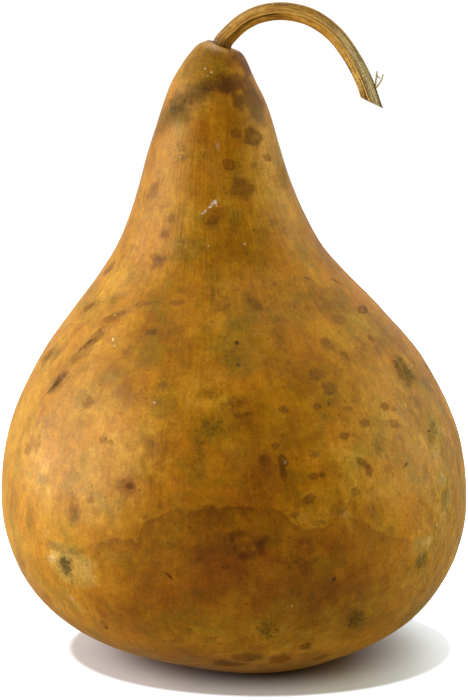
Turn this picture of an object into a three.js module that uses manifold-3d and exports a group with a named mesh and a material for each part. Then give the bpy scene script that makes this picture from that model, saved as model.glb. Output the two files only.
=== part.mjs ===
// A dried bottle gourd, standing upright on the small flat spot at its blossom end:
// one hard shell, and the dry stem that grows from its crown, arches over and ends in a slanted cut.
//
// Millimetres, +Z up, +X to the side that the stem leans to, +Y to the back.
// The origin is the middle of the gourd's footprint, on the surface that it stands on.

import * as THREE from 'three';
import { mergeVertices } from 'three/addons/utils/BufferGeometryUtils.js';
import Module from 'manifold-3d';

const wasm = await Module();
wasm.setup();

const { degToRad, smoothstep } = THREE.MathUtils;

// Driving dimensions of the shell.
const BODY_WIDTH = 200; // across the belly
const BODY_HEIGHT = 265; // from the rest spot to the middle of the crown
const HALF_WIDTH = BODY_WIDTH / 2;

// The shell's side, from the edge of the rest spot up to the rim of the crown. A station is
// [share of half the width, share of the height, how far its middle stands to the right in mm].
const SIDE_STATIONS = [
  [0.2, 0.0, 8.0],
  [0.331, 0.0045, 8.6],
  [0.42, 0.015, 7.2],
  [0.531, 0.034, 5.2],
  [0.69, 0.062, 2.2],
  [0.828, 0.102, 1.1],
  [0.93, 0.155, 0.4],
  [0.982, 0.211, 0.1],
  [1.0, 0.271, 0.0],
  [0.985, 0.345, -0.3],
  [0.923, 0.4235, -1.0],
  [0.812, 0.5025, -1.7],
  [0.658, 0.578, -3.4],
  [0.526, 0.636, -5.2],
  [0.422, 0.6915, -6.8],
  [0.334, 0.77, -8.1],
  [0.269, 0.848, -8.8],
  [0.205, 0.923, -7.6],
  [0.158, 0.9595, -6.8],
  [0.122, 0.983, -6.0],
  [0.1, 0.9945, -5.5],
  [0.08, 1.0, -5.2],
];
const POINTS_PER_SPAN = 2;
const SHELL_SIDES = 60;

// The underside: the blossom-end scar is a small sunken disc in the middle of the flat rest spot.
const SCAR_RADIUS = 5;
const SCAR_SLOPE = 1.5;
const SCAR_DEPTH = 1.2;
const UNDERSIDE_STATIONS = [
  [0, SCAR_DEPTH],
  [SCAR_RADIUS, SCAR_DEPTH],
  [SCAR_RADIUS + SCAR_SLOPE, 0],
];

// The crown tilts down to the right. Inside its rim the shell dips into a shallow dish, climbs to
// the stem on the left, and holds the stem's root in a seat.
const CROWN_TILT = degToRad(16.5);
const CROWN_BEND_FROM = 0.86; // share of the height at which the tilt sets in
const RIM_RADIUS = 6.8;
const DISH_RADIUS = 5.5;
const DISH_DEPTH = 0.9;
const COLLAR_RISE = 2.3;
const ROOT_RADIUS = 4.1;
const ROOT_DEPTH = 3.6;
const GAP = 0.3; // between the root and its seat
const SEAT_RADIUS = ROOT_RADIUS + GAP;
const SEAT_DEPTH = ROOT_DEPTH + GAP;

// From the rim to the middle of the seat: [radius, rise from the rim's plane, share of the collar's rise].
const CROWN_STATIONS = [
  [RIM_RADIUS, 0.1, 0.3],
  [DISH_RADIUS, -DISH_DEPTH / 3, 0.7],
  [SEAT_RADIUS, -DISH_DEPTH, 1],
  [SEAT_RADIUS, -SEAT_DEPTH, 0],
  [0, -SEAT_DEPTH, 0],
];

// Slow swellings round the shell: [lobes, share of the radius, where the first one is].
const LOBES = [
  [2, 0.006, degToRad(35)],
  [3, 0.005, degToRad(200)],
];

// The stem's middle line, from the middle of the crown: it leaves the crown square to the rim.
const STEM_ROUTE = [
  [0.25, 0, 0.9],
  [3.6, -0.1, 4.9],
  [8.3, -0.4, 9.0],
  [14.8, -0.8, 12.3],
  [24.8, -1.4, 13.8],
  [36.4, -2.1, 11.4],
  [46.3, -2.7, 4.7],
  [53.5, -3.2, -4.5],
  [58.9, -3.6, -14.4],
  [62.6, -4.0, -24.3],
];
const STEM_SIDES = 20;
const STEM_STEPS = 44;

// The stem's section: flat faces between sharp ribs, which wind a little on their way to the cut.
const RIBS = 5;
const RIB_HEIGHT = 0.2; // share of the radius between the ribs
const RIB_TWIST = degToRad(-18);
const STEM_RADII = [3.35, 3.25, 3.3, 3.3, 3.2, 3.2, 3.3]; // between the ribs, evenly along the stem
const FOOT_LENGTH = 0.1; // share of the stem's length over which the root's flare dies out
const CUT_SLANT = Math.tan(degToRad(46));
const CUT_ZONE = 0.12; // share of the stem's length over which its rings turn to the cut's slant

// Fibres that the cut has pulled loose on the stem's outer side, from the middle of the crown.
const STRAND_RADIUS = 0.42;
const STRAND_TIP_RADIUS = 0.3;
const STRAND_SIDES = 6;
const STRAND_STEPS = 6;
const STRANDS = [
  [[61.6, -3.8, -19.6], [63.3, -3.9, -17.9], [63.8, -4.0, -14.9], [64.2, -4.1, -10.9]],
  [[63.9, -4.0, -12.6], [64.6, -4.1, -13.2], [65.5, -4.2, -13.9]],
  [[61.8, -3.4, -20.4], [64.2, -3.3, -17.6], [66.3, -3.2, -14.4], [66.8, -3.2, -12.2]],
];

const shellMaterial = new THREE.MeshStandardMaterial({ color: 0xa1701f, roughness: 0.5, metalness: 0 });
const stemMaterial = new THREE.MeshStandardMaterial({ color: 0x9a7333, roughness: 0.75, metalness: 0 });

/** How far the shell's section is tilted at a height. */
function tiltAt(height) {
  const bend = (height / BODY_HEIGHT - CROWN_BEND_FROM) / (1 - CROWN_BEND_FROM);
  return CROWN_TILT * smoothstep(bend, 0, 1);
}

/**
 * The rings that the shell is made of, from the middle of the scar to the middle of the seat. Each has
 * its radius, the level of its section, its rise above that, its middle's shift to the right, and its
 * share of the collar.
 */
function shellRings() {
  const stations = SIDE_STATIONS.map(([width, height, shift]) => (
    new THREE.Vector3(width * HALF_WIDTH, height * BODY_HEIGHT, shift)
  ));
  const side = new THREE.CatmullRomCurve3(stations, false, 'catmullrom')
    .getPoints(POINTS_PER_SPAN * (stations.length - 1));
  const underside = UNDERSIDE_STATIONS.map(([radius, rise]) => (
    { radius, level: 0, rise, shift: side[0].z, collar: 0 }
  ));
  const crown = CROWN_STATIONS.map(([radius, rise, collar]) => (
    { radius, level: BODY_HEIGHT, rise, shift: side.at(-1).z, collar }
  ));
  return [
    ...underside,
    ...side.map(({ x, y, z }) => ({ radius: x, level: y, rise: 0, shift: z, collar: 0 })),
    ...crown,
  ];
}

/** The place of a shell point at an angle round its ring; angle 0 is to the right. */
function placeOnRing(ring, angle) {
  const lobed = LOBES.reduce((sum, [count, size, turn]) => sum + size * Math.cos(count * (angle - turn)), 1);
  const across = ring.radius * lobed * Math.cos(angle);
  const leftness = (0.5 - 0.5 * Math.cos(angle)) ** 2;
  const rise = ring.rise + COLLAR_RISE * ring.collar * leftness;
  const tilt = tiltAt(ring.level);
  return new THREE.Vector3(
    ring.shift + across * Math.cos(tilt) + rise * Math.sin(tilt),
    ring.radius * lobed * Math.sin(angle),
    ring.level - across * Math.sin(tilt) + rise * Math.cos(tilt),
  );
}

/** The hard shell: a turned body whose rings are shifted, lobed and tilted into the grown shape. */
function buildShell() {
  const rings = shellRings();
  const profile = rings.map(({ radius, level, rise }) => new THREE.Vector2(radius, level + rise));
  const geometry = new THREE.LatheGeometry(profile, SHELL_SIDES);
  const position = geometry.getAttribute('position');
  for (let i = 0; i < position.count; i += 1) {
    const side = Math.floor(i / rings.length) % SHELL_SIDES;
    const place = placeOnRing(rings[i % rings.length], (side / SHELL_SIDES) * 2 * Math.PI);
    position.setXYZ(i, place.x, place.y, place.z);
  }
  geometry.computeVertexNormals();
  return geometry;
}

/**
 * A closed solid along a curve. radiusAt(along, angle) gives its section, twist is how far the section
 * has turned at the end, and slant how steeply the end is cut.
 */
function sweep(curve, radiusAt, { sides, steps, twist = 0, slant = 0 }) {
  const geometry = new THREE.CylinderGeometry(1, 1, 1, sides, steps);
  geometry.deleteAttribute('normal');
  geometry.deleteAttribute('uv');
  const position = geometry.getAttribute('position');
  const back = new THREE.Vector3(0, 1, 0);
  for (let i = 0; i < position.count; i += 1) {
    const along = position.getY(i) + 0.5;
    const angle = Math.atan2(position.getZ(i), position.getX(i));
    const radius = Math.hypot(position.getX(i), position.getZ(i)) * radiusAt(along, angle);
    const tangent = curve.getTangentAt(along);
    const outer = tangent.clone().cross(back).normalize();
    const rear = outer.clone().cross(tangent);
    const turned = angle + twist * along;
    const outward = radius * Math.cos(turned);
    const place = curve.getPointAt(along)
      .addScaledVector(outer, outward)
      .addScaledVector(rear, radius * Math.sin(turned))
      .addScaledVector(tangent, slant * outward * smoothstep(along, 1 - CUT_ZONE, 1));
    position.setXYZ(i, place.x, place.y, place.z);
  }
  return mergeVertices(geometry);
}

/** The stem's radius at a share of its length and an angle round it: ribs, and the flare of the root. */
function stemRadius(along, angle) {
  const place = along * (STEM_RADII.length - 1);
  const index = Math.min(Math.floor(place), STEM_RADII.length - 2);
  const plain = THREE.MathUtils.lerp(STEM_RADII[index], STEM_RADII[index + 1], place - index);
  const rib = 1 - Math.abs(Math.sin((RIBS / 2) * (angle + Math.PI / 2)));
  const ribbed = plain * (1 + RIB_HEIGHT * rib);
  return THREE.MathUtils.lerp(ROOT_RADIUS, ribbed, smoothstep(along, 0, FOOT_LENGTH));
}

/** A solid that manifold-3d can join, from a closed geometry. */
function toSolid(geometry) {
  return new wasm.Manifold(new wasm.Mesh({
    numProp: 3,
    vertProperties: new Float32Array(geometry.getAttribute('position').array),
    triVerts: new Uint32Array(geometry.getIndex().array),
  }));
}

/** A geometry from a solid that manifold-3d has joined. */
function toGeometry(solid) {
  const mesh = solid.getMesh();
  const geometry = new THREE.BufferGeometry();
  geometry.setAttribute('position', new THREE.BufferAttribute(mesh.vertProperties, 3));
  geometry.setIndex(new THREE.BufferAttribute(mesh.triVerts, 1));
  geometry.computeVertexNormals();
  return geometry;
}

/** The dry stem, from its root in the seat to its slanted cut, with the loose fibres fused into it. */
function buildStem() {
  const crown = new THREE.Vector3(SIDE_STATIONS.at(-1)[2], 0, BODY_HEIGHT);
  const square = new THREE.Vector3(Math.sin(CROWN_TILT), 0, Math.cos(CROWN_TILT));
  const fromCrown = ([x, y, z]) => new THREE.Vector3(x, y, z).add(crown);
  const root = crown.clone().addScaledVector(square, -ROOT_DEPTH);
  const route = new THREE.CatmullRomCurve3([root, ...STEM_ROUTE.map(fromCrown)]);
  const stalk = sweep(route, stemRadius, {
    sides: STEM_SIDES,
    steps: STEM_STEPS,
    twist: RIB_TWIST,
    slant: CUT_SLANT,
  });
  const strandRadius = (along) => THREE.MathUtils.lerp(STRAND_RADIUS, STRAND_TIP_RADIUS, along);
  const strands = STRANDS.map((points) => {
    const curve = new THREE.CatmullRomCurve3(points.map(fromCrown));
    return sweep(curve, strandRadius, { sides: STRAND_SIDES, steps: STRAND_STEPS });
  });
  return toGeometry(strands.reduce((solid, strand) => solid.add(toSolid(strand)), toSolid(stalk)));
}

/** A named piece of the gourd. */
function piece(name, geometry, material) {
  const mesh = new THREE.Mesh(geometry, material);
  mesh.name = name;
  return mesh;
}

const gourd = new THREE.Group();
gourd.add(piece('gourd_shell', buildShell(), shellMaterial));
gourd.add(piece('stem', buildStem(), stemMaterial));

// The origin is the middle of the footprint.
const footprint = new THREE.Box3().setFromObject(gourd).getCenter(new THREE.Vector3());
gourd.position.set(-footprint.x, -footprint.y, 0);
gourd.updateMatrixWorld(true);

export default gourd;
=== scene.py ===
"""Looks of a dried bottle gourd: its mottled hard shell, its dry ribbed stem and the studio round it.

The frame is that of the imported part: +Z up, +X to the side that the stem arches to, +Y to the back,
origin in the middle of the footprint. Sizes are written in millimetres and turned into metres once,
where a mesh is made.
"""

from __future__ import annotations

import logging
import math
from dataclasses import dataclass, field
from enum import Enum
from typing import Any, Callable, Iterable, Sequence

import bpy
import numpy as np
from mathutils import Matrix, Vector
from mathutils.bvhtree import BVHTree

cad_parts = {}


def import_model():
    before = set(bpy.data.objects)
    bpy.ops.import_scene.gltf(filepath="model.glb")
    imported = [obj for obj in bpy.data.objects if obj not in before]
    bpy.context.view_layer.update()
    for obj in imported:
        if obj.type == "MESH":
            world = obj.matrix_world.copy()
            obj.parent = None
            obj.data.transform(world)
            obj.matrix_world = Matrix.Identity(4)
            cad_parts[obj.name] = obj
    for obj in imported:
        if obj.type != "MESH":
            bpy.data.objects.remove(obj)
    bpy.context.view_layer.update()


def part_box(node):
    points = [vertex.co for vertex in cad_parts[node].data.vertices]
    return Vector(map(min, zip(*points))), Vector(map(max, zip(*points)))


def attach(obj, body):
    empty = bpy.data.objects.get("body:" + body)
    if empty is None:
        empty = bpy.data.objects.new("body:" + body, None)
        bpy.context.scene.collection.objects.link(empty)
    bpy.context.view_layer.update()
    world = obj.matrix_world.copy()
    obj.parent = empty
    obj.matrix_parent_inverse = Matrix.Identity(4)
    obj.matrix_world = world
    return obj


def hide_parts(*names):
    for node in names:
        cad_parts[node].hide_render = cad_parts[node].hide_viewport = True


LOG = logging.getLogger("dried_bottle_gourd")
MM = 0.001
BODY = "root"

Colour = tuple[float, float, float]
Pixel = tuple[float, float]
Socket = bpy.types.NodeSocket
SocketValue = float | Sequence[float] | Socket


def smooth_step(value: np.ndarray, low: float, high: float) -> np.ndarray:
    """Rise from 0 at low to 1 at high without a corner."""
    share = np.clip((value - low) / (high - low), 0.0, 1.0)
    return share * share * (3.0 - 2.0 * share)


def unit(vectors: np.ndarray) -> np.ndarray:
    """Scale the vectors in the last axis to length 1."""
    return vectors / np.maximum(np.linalg.norm(vectors, axis=-1, keepdims=True), 1e-12)


# --------------------------------------------------------------------------- curves


def hermite(ends: np.ndarray, slopes: np.ndarray, share: np.ndarray) -> np.ndarray:
    """Points of a cubic between two ends.

    Args:
        ends: The two end points.
        slopes: The curve's speed at each end.
        share: How far along each wanted point is, from 0 to 1.

    Returns:
        One point for each share.
    """
    t = share[:, None]
    first, last = ends
    cubic = 2.0 * first - 2.0 * last + slopes[0] + slopes[1]
    square = -3.0 * first + 3.0 * last - 2.0 * slopes[0] - slopes[1]
    return first + slopes[0] * t + square * t**2 + cubic * t**3


def rounded_line(points: Sequence[Sequence[float]], per_span: int, centripetal: bool) -> np.ndarray:
    """A Catmull-Rom curve through the points, as the part's source draws it.

    Args:
        points: The points that the curve passes through.
        per_span: How many steps lie between two points.
        centripetal: Whether the curve's speed follows the spacing of the points.

    Returns:
        The points along the curve, both ends included.
    """
    given = np.asarray(points, float)
    padded = np.vstack([2 * given[0] - given[1], given, 2 * given[-1] - given[-2]])
    share = np.arange(per_span) / per_span
    spans = []
    for a, b, c, d in zip(padded, padded[1:], padded[2:], padded[3:]):
        if centripetal:
            before, here, after = (math.sqrt(np.linalg.norm(q - p)) for p, q in ((a, b), (b, c), (c, d)))
            start = (b - a) / before - (c - a) / (before + here) + (c - b) / here
            end = (c - b) / here - (d - b) / (here + after) + (d - c) / after
            slopes = np.array([start, end]) * here
        else:
            slopes = np.array([c - a, d - b]) / 2.0
        spans.append(hermite(np.array([b, c]), slopes, share))
    return np.vstack([*spans, given[-1:]])


def lengths_along(line: np.ndarray) -> np.ndarray:
    """How far along the line each of its points is."""
    steps = np.linalg.norm(np.diff(line, axis=0), axis=1)
    return np.concatenate([[0.0], np.cumsum(steps)])


def sample_line(line: np.ndarray, at: np.ndarray) -> np.ndarray:
    """Points of a line at the given lengths along it."""
    along = lengths_along(line)
    return np.column_stack([np.interp(at, along, line[:, axis]) for axis in range(line.shape[1])])


# --------------------------------------------------------------------------- meshes


@dataclass
class Rings:
    """A closed surface of rings between two poles, with values kept for each of its points."""

    first_pole: np.ndarray
    places: np.ndarray  # rows x columns x 3, in millimetres
    last_pole: np.ndarray

    def points(self) -> np.ndarray:
        """Every point once: the first pole, the rings, the last pole."""
        return np.vstack([self.first_pole, self.places.reshape(-1, 3), self.last_pole])

    def spread(self, values: np.ndarray) -> np.ndarray:
        """Give each pole the mean value of the ring beside it.

        Args:
            values: One value, or one row of values, for each point of each ring.

        Returns:
            One value for each point that points() gives.
        """
        rings = values.reshape(self.places.shape[0], self.places.shape[1], -1)
        first, last = rings[0].mean(axis=0), rings[-1].mean(axis=0)
        return np.vstack([first, rings.reshape(-1, rings.shape[2]), last])

    def faces(self) -> list[tuple[int, ...]]:
        """Quads between the rings and a fan of triangles round each pole, facing outward."""
        rows, columns, _ = self.places.shape
        index = 1 + np.arange(rows * columns).reshape(rows, columns)
        beside = np.roll(index, -1, axis=1)
        quads = np.stack([index[:-1], beside[:-1], beside[1:], index[1:]], axis=-1).reshape(-1, 4)
        last = rows * columns + 1
        first_fan = [(0, int(b), int(a)) for a, b in zip(index[0], beside[0])]
        last_fan = [(last, int(a), int(b)) for a, b in zip(index[-1], beside[-1])]
        return [*map(tuple, quads.tolist()), *first_fan, *last_fan]


def make_object(name: str, points: np.ndarray, faces: Sequence[Sequence[int]]) -> bpy.types.Object:
    """A smooth mesh object in the scene.

    Args:
        name: The object's name.
        points: Its points, in millimetres.
        faces: The points of each face, by index.

    Returns:
        The new object, at the frame's origin.
    """
    mesh = bpy.data.meshes.new(name)
    mesh.from_pydata((points * MM).tolist(), [], faces)
    mesh.validate()
    mesh.shade_smooth()
    made = bpy.data.objects.new(name, mesh)
    bpy.context.scene.collection.objects.link(made)
    return made


def store(mesh: bpy.types.Mesh, name: str, values: np.ndarray) -> None:
    """Keep values on a mesh's points, for its material to read.

    Args:
        mesh: The mesh.
        name: The attribute's name.
        values: One row for each point, of 1, 3 or 4 numbers.
    """
    rows = np.asarray(values, np.float32).reshape(len(mesh.vertices), -1)
    kind, slot = {1: ("FLOAT", "value"), 3: ("FLOAT_VECTOR", "vector"), 4: ("FLOAT_COLOR", "color")}[rows.shape[1]]
    mesh.attributes.new(name, kind, "POINT").data.foreach_set(slot, rows.ravel())


def waves(points: np.ndarray, size: float, seed: int, count: int = 24) -> np.ndarray:
    """A slow seeded swelling, the same on every run.

    Args:
        points: Where it is wanted, one point to a row.
        size: The mean length of its waves.
        seed: Which swelling.
        count: How many plain waves it is the sum of.

    Returns:
        One value for each point, mostly between -1 and 1.
    """
    source = np.random.default_rng(seed)
    directions = unit(source.normal(size=(count, 3))) / (size * source.uniform(0.6, 1.6, (count, 1)))
    phases = source.uniform(0.0, 1.0, count)
    return np.sin(2 * math.pi * (points @ directions.T + phases)).sum(axis=1) / math.sqrt(count)


# --------------------------------------------------------------------------- camera


@dataclass(frozen=True)
class PhotoCamera:
    """The photograph's camera, in metres: level with the belly's top, a little above the horizon."""

    distance: float = 1.0
    elevation: float = math.radians(12.0)
    target: tuple[float, float, float] = (0.0, 0.0, 0.1345)
    lens: float = 120.02
    sensor: float = 36.0
    frame: tuple[int, int] = (468, 700)

    @property
    def place(self) -> Vector:
        """Where the camera stands."""
        back = Vector((0.0, -math.cos(self.elevation), math.sin(self.elevation)))
        return Vector(self.target) + back * self.distance

    @property
    def turn(self) -> Matrix:
        """The camera's rotation: it looks at the target."""
        return (Vector(self.target) - self.place).to_track_quat("-Z", "Y").to_matrix()

    def ray(self, seen_at: Pixel) -> Vector:
        """The direction from the camera through a pixel of the photograph."""
        focal = self.lens / self.sensor * max(self.frame)
        right = (seen_at[0] - self.frame[0] / 2) / focal
        up = (self.frame[1] / 2 - seen_at[1]) / focal
        return (self.turn @ Vector((right, up, -1.0))).normalized()

    def build(self) -> bpy.types.Object:
        """Put the camera in the scene and make it the scene's own."""
        data = bpy.data.cameras.new("photo_camera")
        data.lens = self.lens
        data.sensor_width = self.sensor
        data.dof.use_dof = False
        made = bpy.data.objects.new("photo_camera", data)
        made.location = self.place
        made.rotation_euler = self.turn.to_euler()
        bpy.context.scene.collection.objects.link(made)
        bpy.context.scene.camera = made
        return made


# --------------------------------------------------------------------------- shader graphs


@dataclass
class Graph:
    """Short names for the nodes that this scene's materials are made of."""

    tree: bpy.types.NodeTree

    def node(self, kind: str, inputs: dict[str | int, SocketValue] | None = None, **settings: Any) -> bpy.types.Node:
        """Add a shader node.

        Args:
            kind: The node's type, without the leading ShaderNode.
            inputs: Values or links for its inputs, by name or place.
            **settings: The node's own properties.

        Returns:
            The node.
        """
        made = self.tree.nodes.new(f"ShaderNode{kind}")
        for name, value in settings.items():
            setattr(made, name, value)
        for key, value in (inputs or {}).items():
            self.feed(made.inputs[key], value)
        return made

    def feed(self, socket: Socket, value: SocketValue) -> None:
        """Link an input to an output, or set its plain value."""
        if isinstance(value, bpy.types.NodeSocket):
            self.tree.links.new(value, socket)
        elif socket.type == "RGBA" and len(value) == 3:
            socket.default_value = (*value, 1.0)
        else:
            socket.default_value = value

    def math(self, operation: str, *values: SocketValue) -> Socket:
        """One step of arithmetic on numbers."""
        return self.node("Math", dict(enumerate(values)), operation=operation).outputs[0]

    def vector(self, operation: str, *values: SocketValue) -> Socket:
        """One step of arithmetic on vectors that gives a vector."""
        return self.node("VectorMath", dict(enumerate(values)), operation=operation).outputs[0]

    def scaled(self, vector: Socket, factor: SocketValue) -> Socket:
        """A vector times a number."""
        return self.node("VectorMath", {0: vector, "Scale": factor}, operation="SCALE").outputs[0]

    def length(self, vector: Socket) -> Socket:
        """A vector's length."""
        return self.node("VectorMath", {0: vector}, operation="LENGTH").outputs["Value"]

    def rise(self, value: SocketValue, low: SocketValue, high: SocketValue, top: SocketValue = 1.0) -> Socket:
        """Rise from 0 at low to top at high without a corner."""
        inputs = {"Value": value, "From Min": low, "From Max": high, "To Min": 0.0, "To Max": top}
        return self.node("MapRange", inputs, interpolation_type="SMOOTHSTEP").outputs[0]

    def sum(self, *values: SocketValue) -> Socket:
        """The sum of several numbers."""
        total = values[0]
        for value in values[1:]:
            total = self.math("ADD", total, value)
        return total

    def mix(self, factor: SocketValue, under: SocketValue, over: SocketValue, blend: str = "MIX") -> Socket:
        """Lay one colour over another."""
        made = self.node("Mix", data_type="RGBA", blend_type=blend, clamp_factor=True)
        self.feed(made.inputs["Factor"], factor)
        self.feed(made.inputs[6], under)
        self.feed(made.inputs[7], over)
        return made.outputs[2]

    def ramp(self, factor: Socket, stops: Sequence[tuple[float, Colour]]) -> Socket:
        """A run of colours, each reached at its own place between 0 and 1."""
        made = self.node("ValToRGB", {0: factor})
        elements = made.color_ramp.elements
        while len(elements) < len(stops):
            elements.new(0.5)
        for element, (place, colour) in zip(elements, stops):
            element.position = place
            element.color = (*colour, 1.0)
        return made.outputs["Color"]

    def noise(self, vector: Socket, size: SocketValue, detail: float = 3.0, roughness: float = 0.55) -> Socket:
        """Cloudy noise between 0 and 1.

        Args:
            vector: Where it is read, in millimetres.
            size: The width of its patches, in millimetres.
            detail: How many finer copies are added.
            roughness: How strong the finer copies are.

        Returns:
            The noise's value.
        """
        scale = self.math("DIVIDE", 1.0, size) if isinstance(size, bpy.types.NodeSocket) else 1.0 / size
        inputs = {"Vector": vector, "Scale": scale, "Detail": detail, "Roughness": roughness}
        return self.node("TexNoise", inputs).outputs[0]

    def attribute(self, name: str) -> bpy.types.Node:
        """Values that are stored on the mesh's points."""
        return self.node("Attribute", attribute_name=name, attribute_type="GEOMETRY")

    def parts(self, vector: Socket) -> tuple[Socket, Socket, Socket]:
        """The three numbers of a vector."""
        made = self.node("SeparateXYZ", {0: vector})
        return made.outputs[0], made.outputs[1], made.outputs[2]

    def group(self, shared: bpy.types.NodeTree, inputs: dict[str, SocketValue]) -> bpy.types.Node:
        """Place a shared node group with its own values."""
        made = self.tree.nodes.new("ShaderNodeGroup")
        made.node_tree = shared
        for name, value in inputs.items():
            self.feed(made.inputs[name], value)
        return made


class SocketKind(Enum):
    """What a group's socket carries."""

    NUMBER = "NodeSocketFloat"
    VECTOR = "NodeSocketVector"
    COLOUR = "NodeSocketColor"


def shared_group(
    name: str,
    inputs: dict[str, SocketKind],
    outputs: dict[str, SocketKind],
    draw: Callable[[Graph, dict[str, Socket]], dict[str, Socket]],
) -> bpy.types.NodeTree:
    """Build a shader node group once.

    Args:
        name: The group's name.
        inputs: Its input sockets.
        outputs: Its output sockets.
        draw: Adds the nodes, and returns the socket that feeds each output.

    Returns:
        The group's node tree.
    """
    tree = bpy.data.node_groups.new(name, "ShaderNodeTree")
    for label, kind in inputs.items():
        tree.interface.new_socket(label, in_out="INPUT", socket_type=kind.value)
    for label, kind in outputs.items():
        tree.interface.new_socket(label, in_out="OUTPUT", socket_type=kind.value)
    entry = tree.nodes.new("NodeGroupInput")
    leave = tree.nodes.new("NodeGroupOutput")
    made = draw(Graph(tree), {label: entry.outputs[label] for label in inputs})
    for label, socket in made.items():
        tree.links.new(socket, leave.inputs[label])
    return tree


def draw_speckle(graph: Graph, given: dict[str, Socket]) -> dict[str, Socket]:
    """Fine round specks of uneven size: a few of the cells of a grid of points hold one each."""
    scale = graph.math("DIVIDE", 1.0, given["Spacing"])
    wander = graph.node("TexNoise", {"Vector": given["Place"], "Scale": scale, "Detail": 2.0})
    shifted = graph.node(
        "VectorMath",
        {0: wander.outputs["Color"], 1: (0.9, 0.9, 0.9), 2: given["Place"]},
        operation="MULTIPLY_ADD",
    ).outputs[0]
    cells = graph.node("TexVoronoi", {"Vector": shifted, "Scale": scale})
    lot = graph.parts(cells.outputs["Color"])
    reach = graph.math("MULTIPLY", graph.rise(lot[0], graph.math("SUBTRACT", 1.0, given["Share"]), 1.0), 0.34)
    inner = graph.math("MULTIPLY", reach, 0.45)
    mask = graph.math("SUBTRACT", 1.0, graph.rise(cells.outputs["Distance"], inner, graph.sum(reach, 0.01)))
    held = graph.math("MULTIPLY", mask, graph.rise(reach, 0.02, 0.08))
    return {"Mask": held}


def draw_fibres(graph: Graph, given: dict[str, Socket]) -> dict[str, Socket]:
    """Lengthwise fibres: noise that is pulled out along the grain."""
    stretch = graph.node("CombineXYZ", {0: 1.0, 1: 1.0, 2: given["Stretch"]}).outputs[0]
    pulled = graph.vector("MULTIPLY", given["Grain"], stretch)
    coarse = graph.noise(pulled, given["Width"], 3.0, 0.6)
    fine = graph.noise(pulled, graph.math("MULTIPLY", given["Width"], 0.35), 2.0, 0.5)
    both = graph.sum(graph.math("MULTIPLY", coarse, 0.6), graph.math("MULTIPLY", fine, 0.4))
    return {"Streak": graph.rise(both, 0.32, 0.68)}


def draw_mottle(graph: Graph, given: dict[str, Socket]) -> dict[str, Socket]:
    """Cloudy patches within patches, as a dried rind weathers."""
    place = given["Place"]
    wide = graph.noise(place, given["Size"], 2.0, 0.5)
    middle = graph.noise(place, graph.math("MULTIPLY", given["Size"], 0.33), 3.0, 0.55)
    close = graph.noise(place, graph.math("MULTIPLY", given["Size"], 0.1), 3.0, 0.6)
    shares = ((wide, 0.42), (middle, 0.36), (close, 0.22))
    value = graph.sum(*(graph.math("MULTIPLY", part, share) for part, share in shares))
    return {"Value": graph.rise(value, 0.36, 0.64)}


def draw_mark(graph: Graph, given: dict[str, Socket]) -> dict[str, Socket]:
    """One layer of marks: each is a ragged blot with its own rim, core, grain and relief."""
    across, upward, lot = graph.parts(given["Local"])
    flat = graph.node("CombineXYZ", {0: across, 1: upward}).outputs[0]
    shape = graph.node("CombineXYZ", {0: across, 1: upward, 2: graph.math("MULTIPLY", lot, 40.0)}).outputs[0]
    ragged = graph.math("MULTIPLY", graph.sum(graph.noise(shape, 0.95, 3.0, 0.6), -0.5), 1.5)
    frayed = graph.math("MULTIPLY", graph.sum(given["Unrest"], -0.5), 0.8)
    distance = graph.sum(graph.length(flat), ragged, frayed)
    body_share, rim_share, core_share = graph.parts(given["Tone"])
    inner = graph.math("SUBTRACT", 1.05, graph.math("MULTIPLY", given["Softness"], 0.8))
    outer = graph.sum(graph.math("MULTIPLY", given["Softness"], 0.4), 1.0)
    body = graph.math("SUBTRACT", 1.0, graph.rise(distance, inner, outer))
    rim = graph.math("MULTIPLY", body, graph.rise(distance, 0.4, 0.9))
    core = graph.math("SUBTRACT", 1.0, graph.rise(distance, 0.1, 0.55))
    broken = graph.math("MULTIPLY", given["Grain"], graph.rise(given["Unrest"], 0.42, 0.56))
    cover = graph.sum(graph.math("MULTIPLY", body, body_share), graph.math("MULTIPLY", core, core_share))
    cover = graph.math("MULTIPLY", cover, graph.math("SUBTRACT", 1.0, broken))
    soaked = graph.mix(1.0, given["Under"], given["Tint"], "MULTIPLY")
    colour = graph.mix(cover, given["Under"], graph.mix(given["Opacity"], soaked, given["Tint"]))
    edged = graph.mix(1.0, colour, given["Edge"], "MULTIPLY")
    dome = graph.math("SUBTRACT", 1.0, graph.rise(distance, 0.0, 0.95))
    return {
        "Colour": graph.mix(graph.math("MULTIPLY", rim, rim_share), colour, edged),
        "Height": graph.math("MULTIPLY", dome, given["Relief"]),
        "Cover": cover,
    }


@dataclass(frozen=True)
class SharedEffects:
    """The node groups that more than one finish, or more than one layer of a finish, uses."""

    speckle: bpy.types.NodeTree
    fibres: bpy.types.NodeTree
    mottle: bpy.types.NodeTree
    mark: bpy.types.NodeTree

    @classmethod
    def build(cls) -> SharedEffects:
        """Make every group once."""
        number, vector, colour = SocketKind.NUMBER, SocketKind.VECTOR, SocketKind.COLOUR
        return cls(
            speckle=shared_group(
                "Fine specks",
                {"Place": vector, "Spacing": number, "Share": number},
                {"Mask": number},
                draw_speckle,
            ),
            fibres=shared_group(
                "Lengthwise fibres",
                {"Grain": vector, "Width": number, "Stretch": number},
                {"Streak": number},
                draw_fibres,
            ),
            mottle=shared_group(
                "Weathered patches", {"Place": vector, "Size": number}, {"Value": number}, draw_mottle
            ),
            mark=shared_group(
                "Mark layer",
                {
                    "Under": colour,
                    "Local": vector,
                    "Tone": vector,
                    "Softness": number,
                    "Tint": colour,
                    "Edge": colour,
                    "Opacity": number,
                    "Grain": number,
                    "Relief": number,
                    "Unrest": number,
                },
                {"Colour": colour, "Height": number, "Cover": number},
                draw_mark,
            ),
        )


# --------------------------------------------------------------------------- marks on the shell


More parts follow.
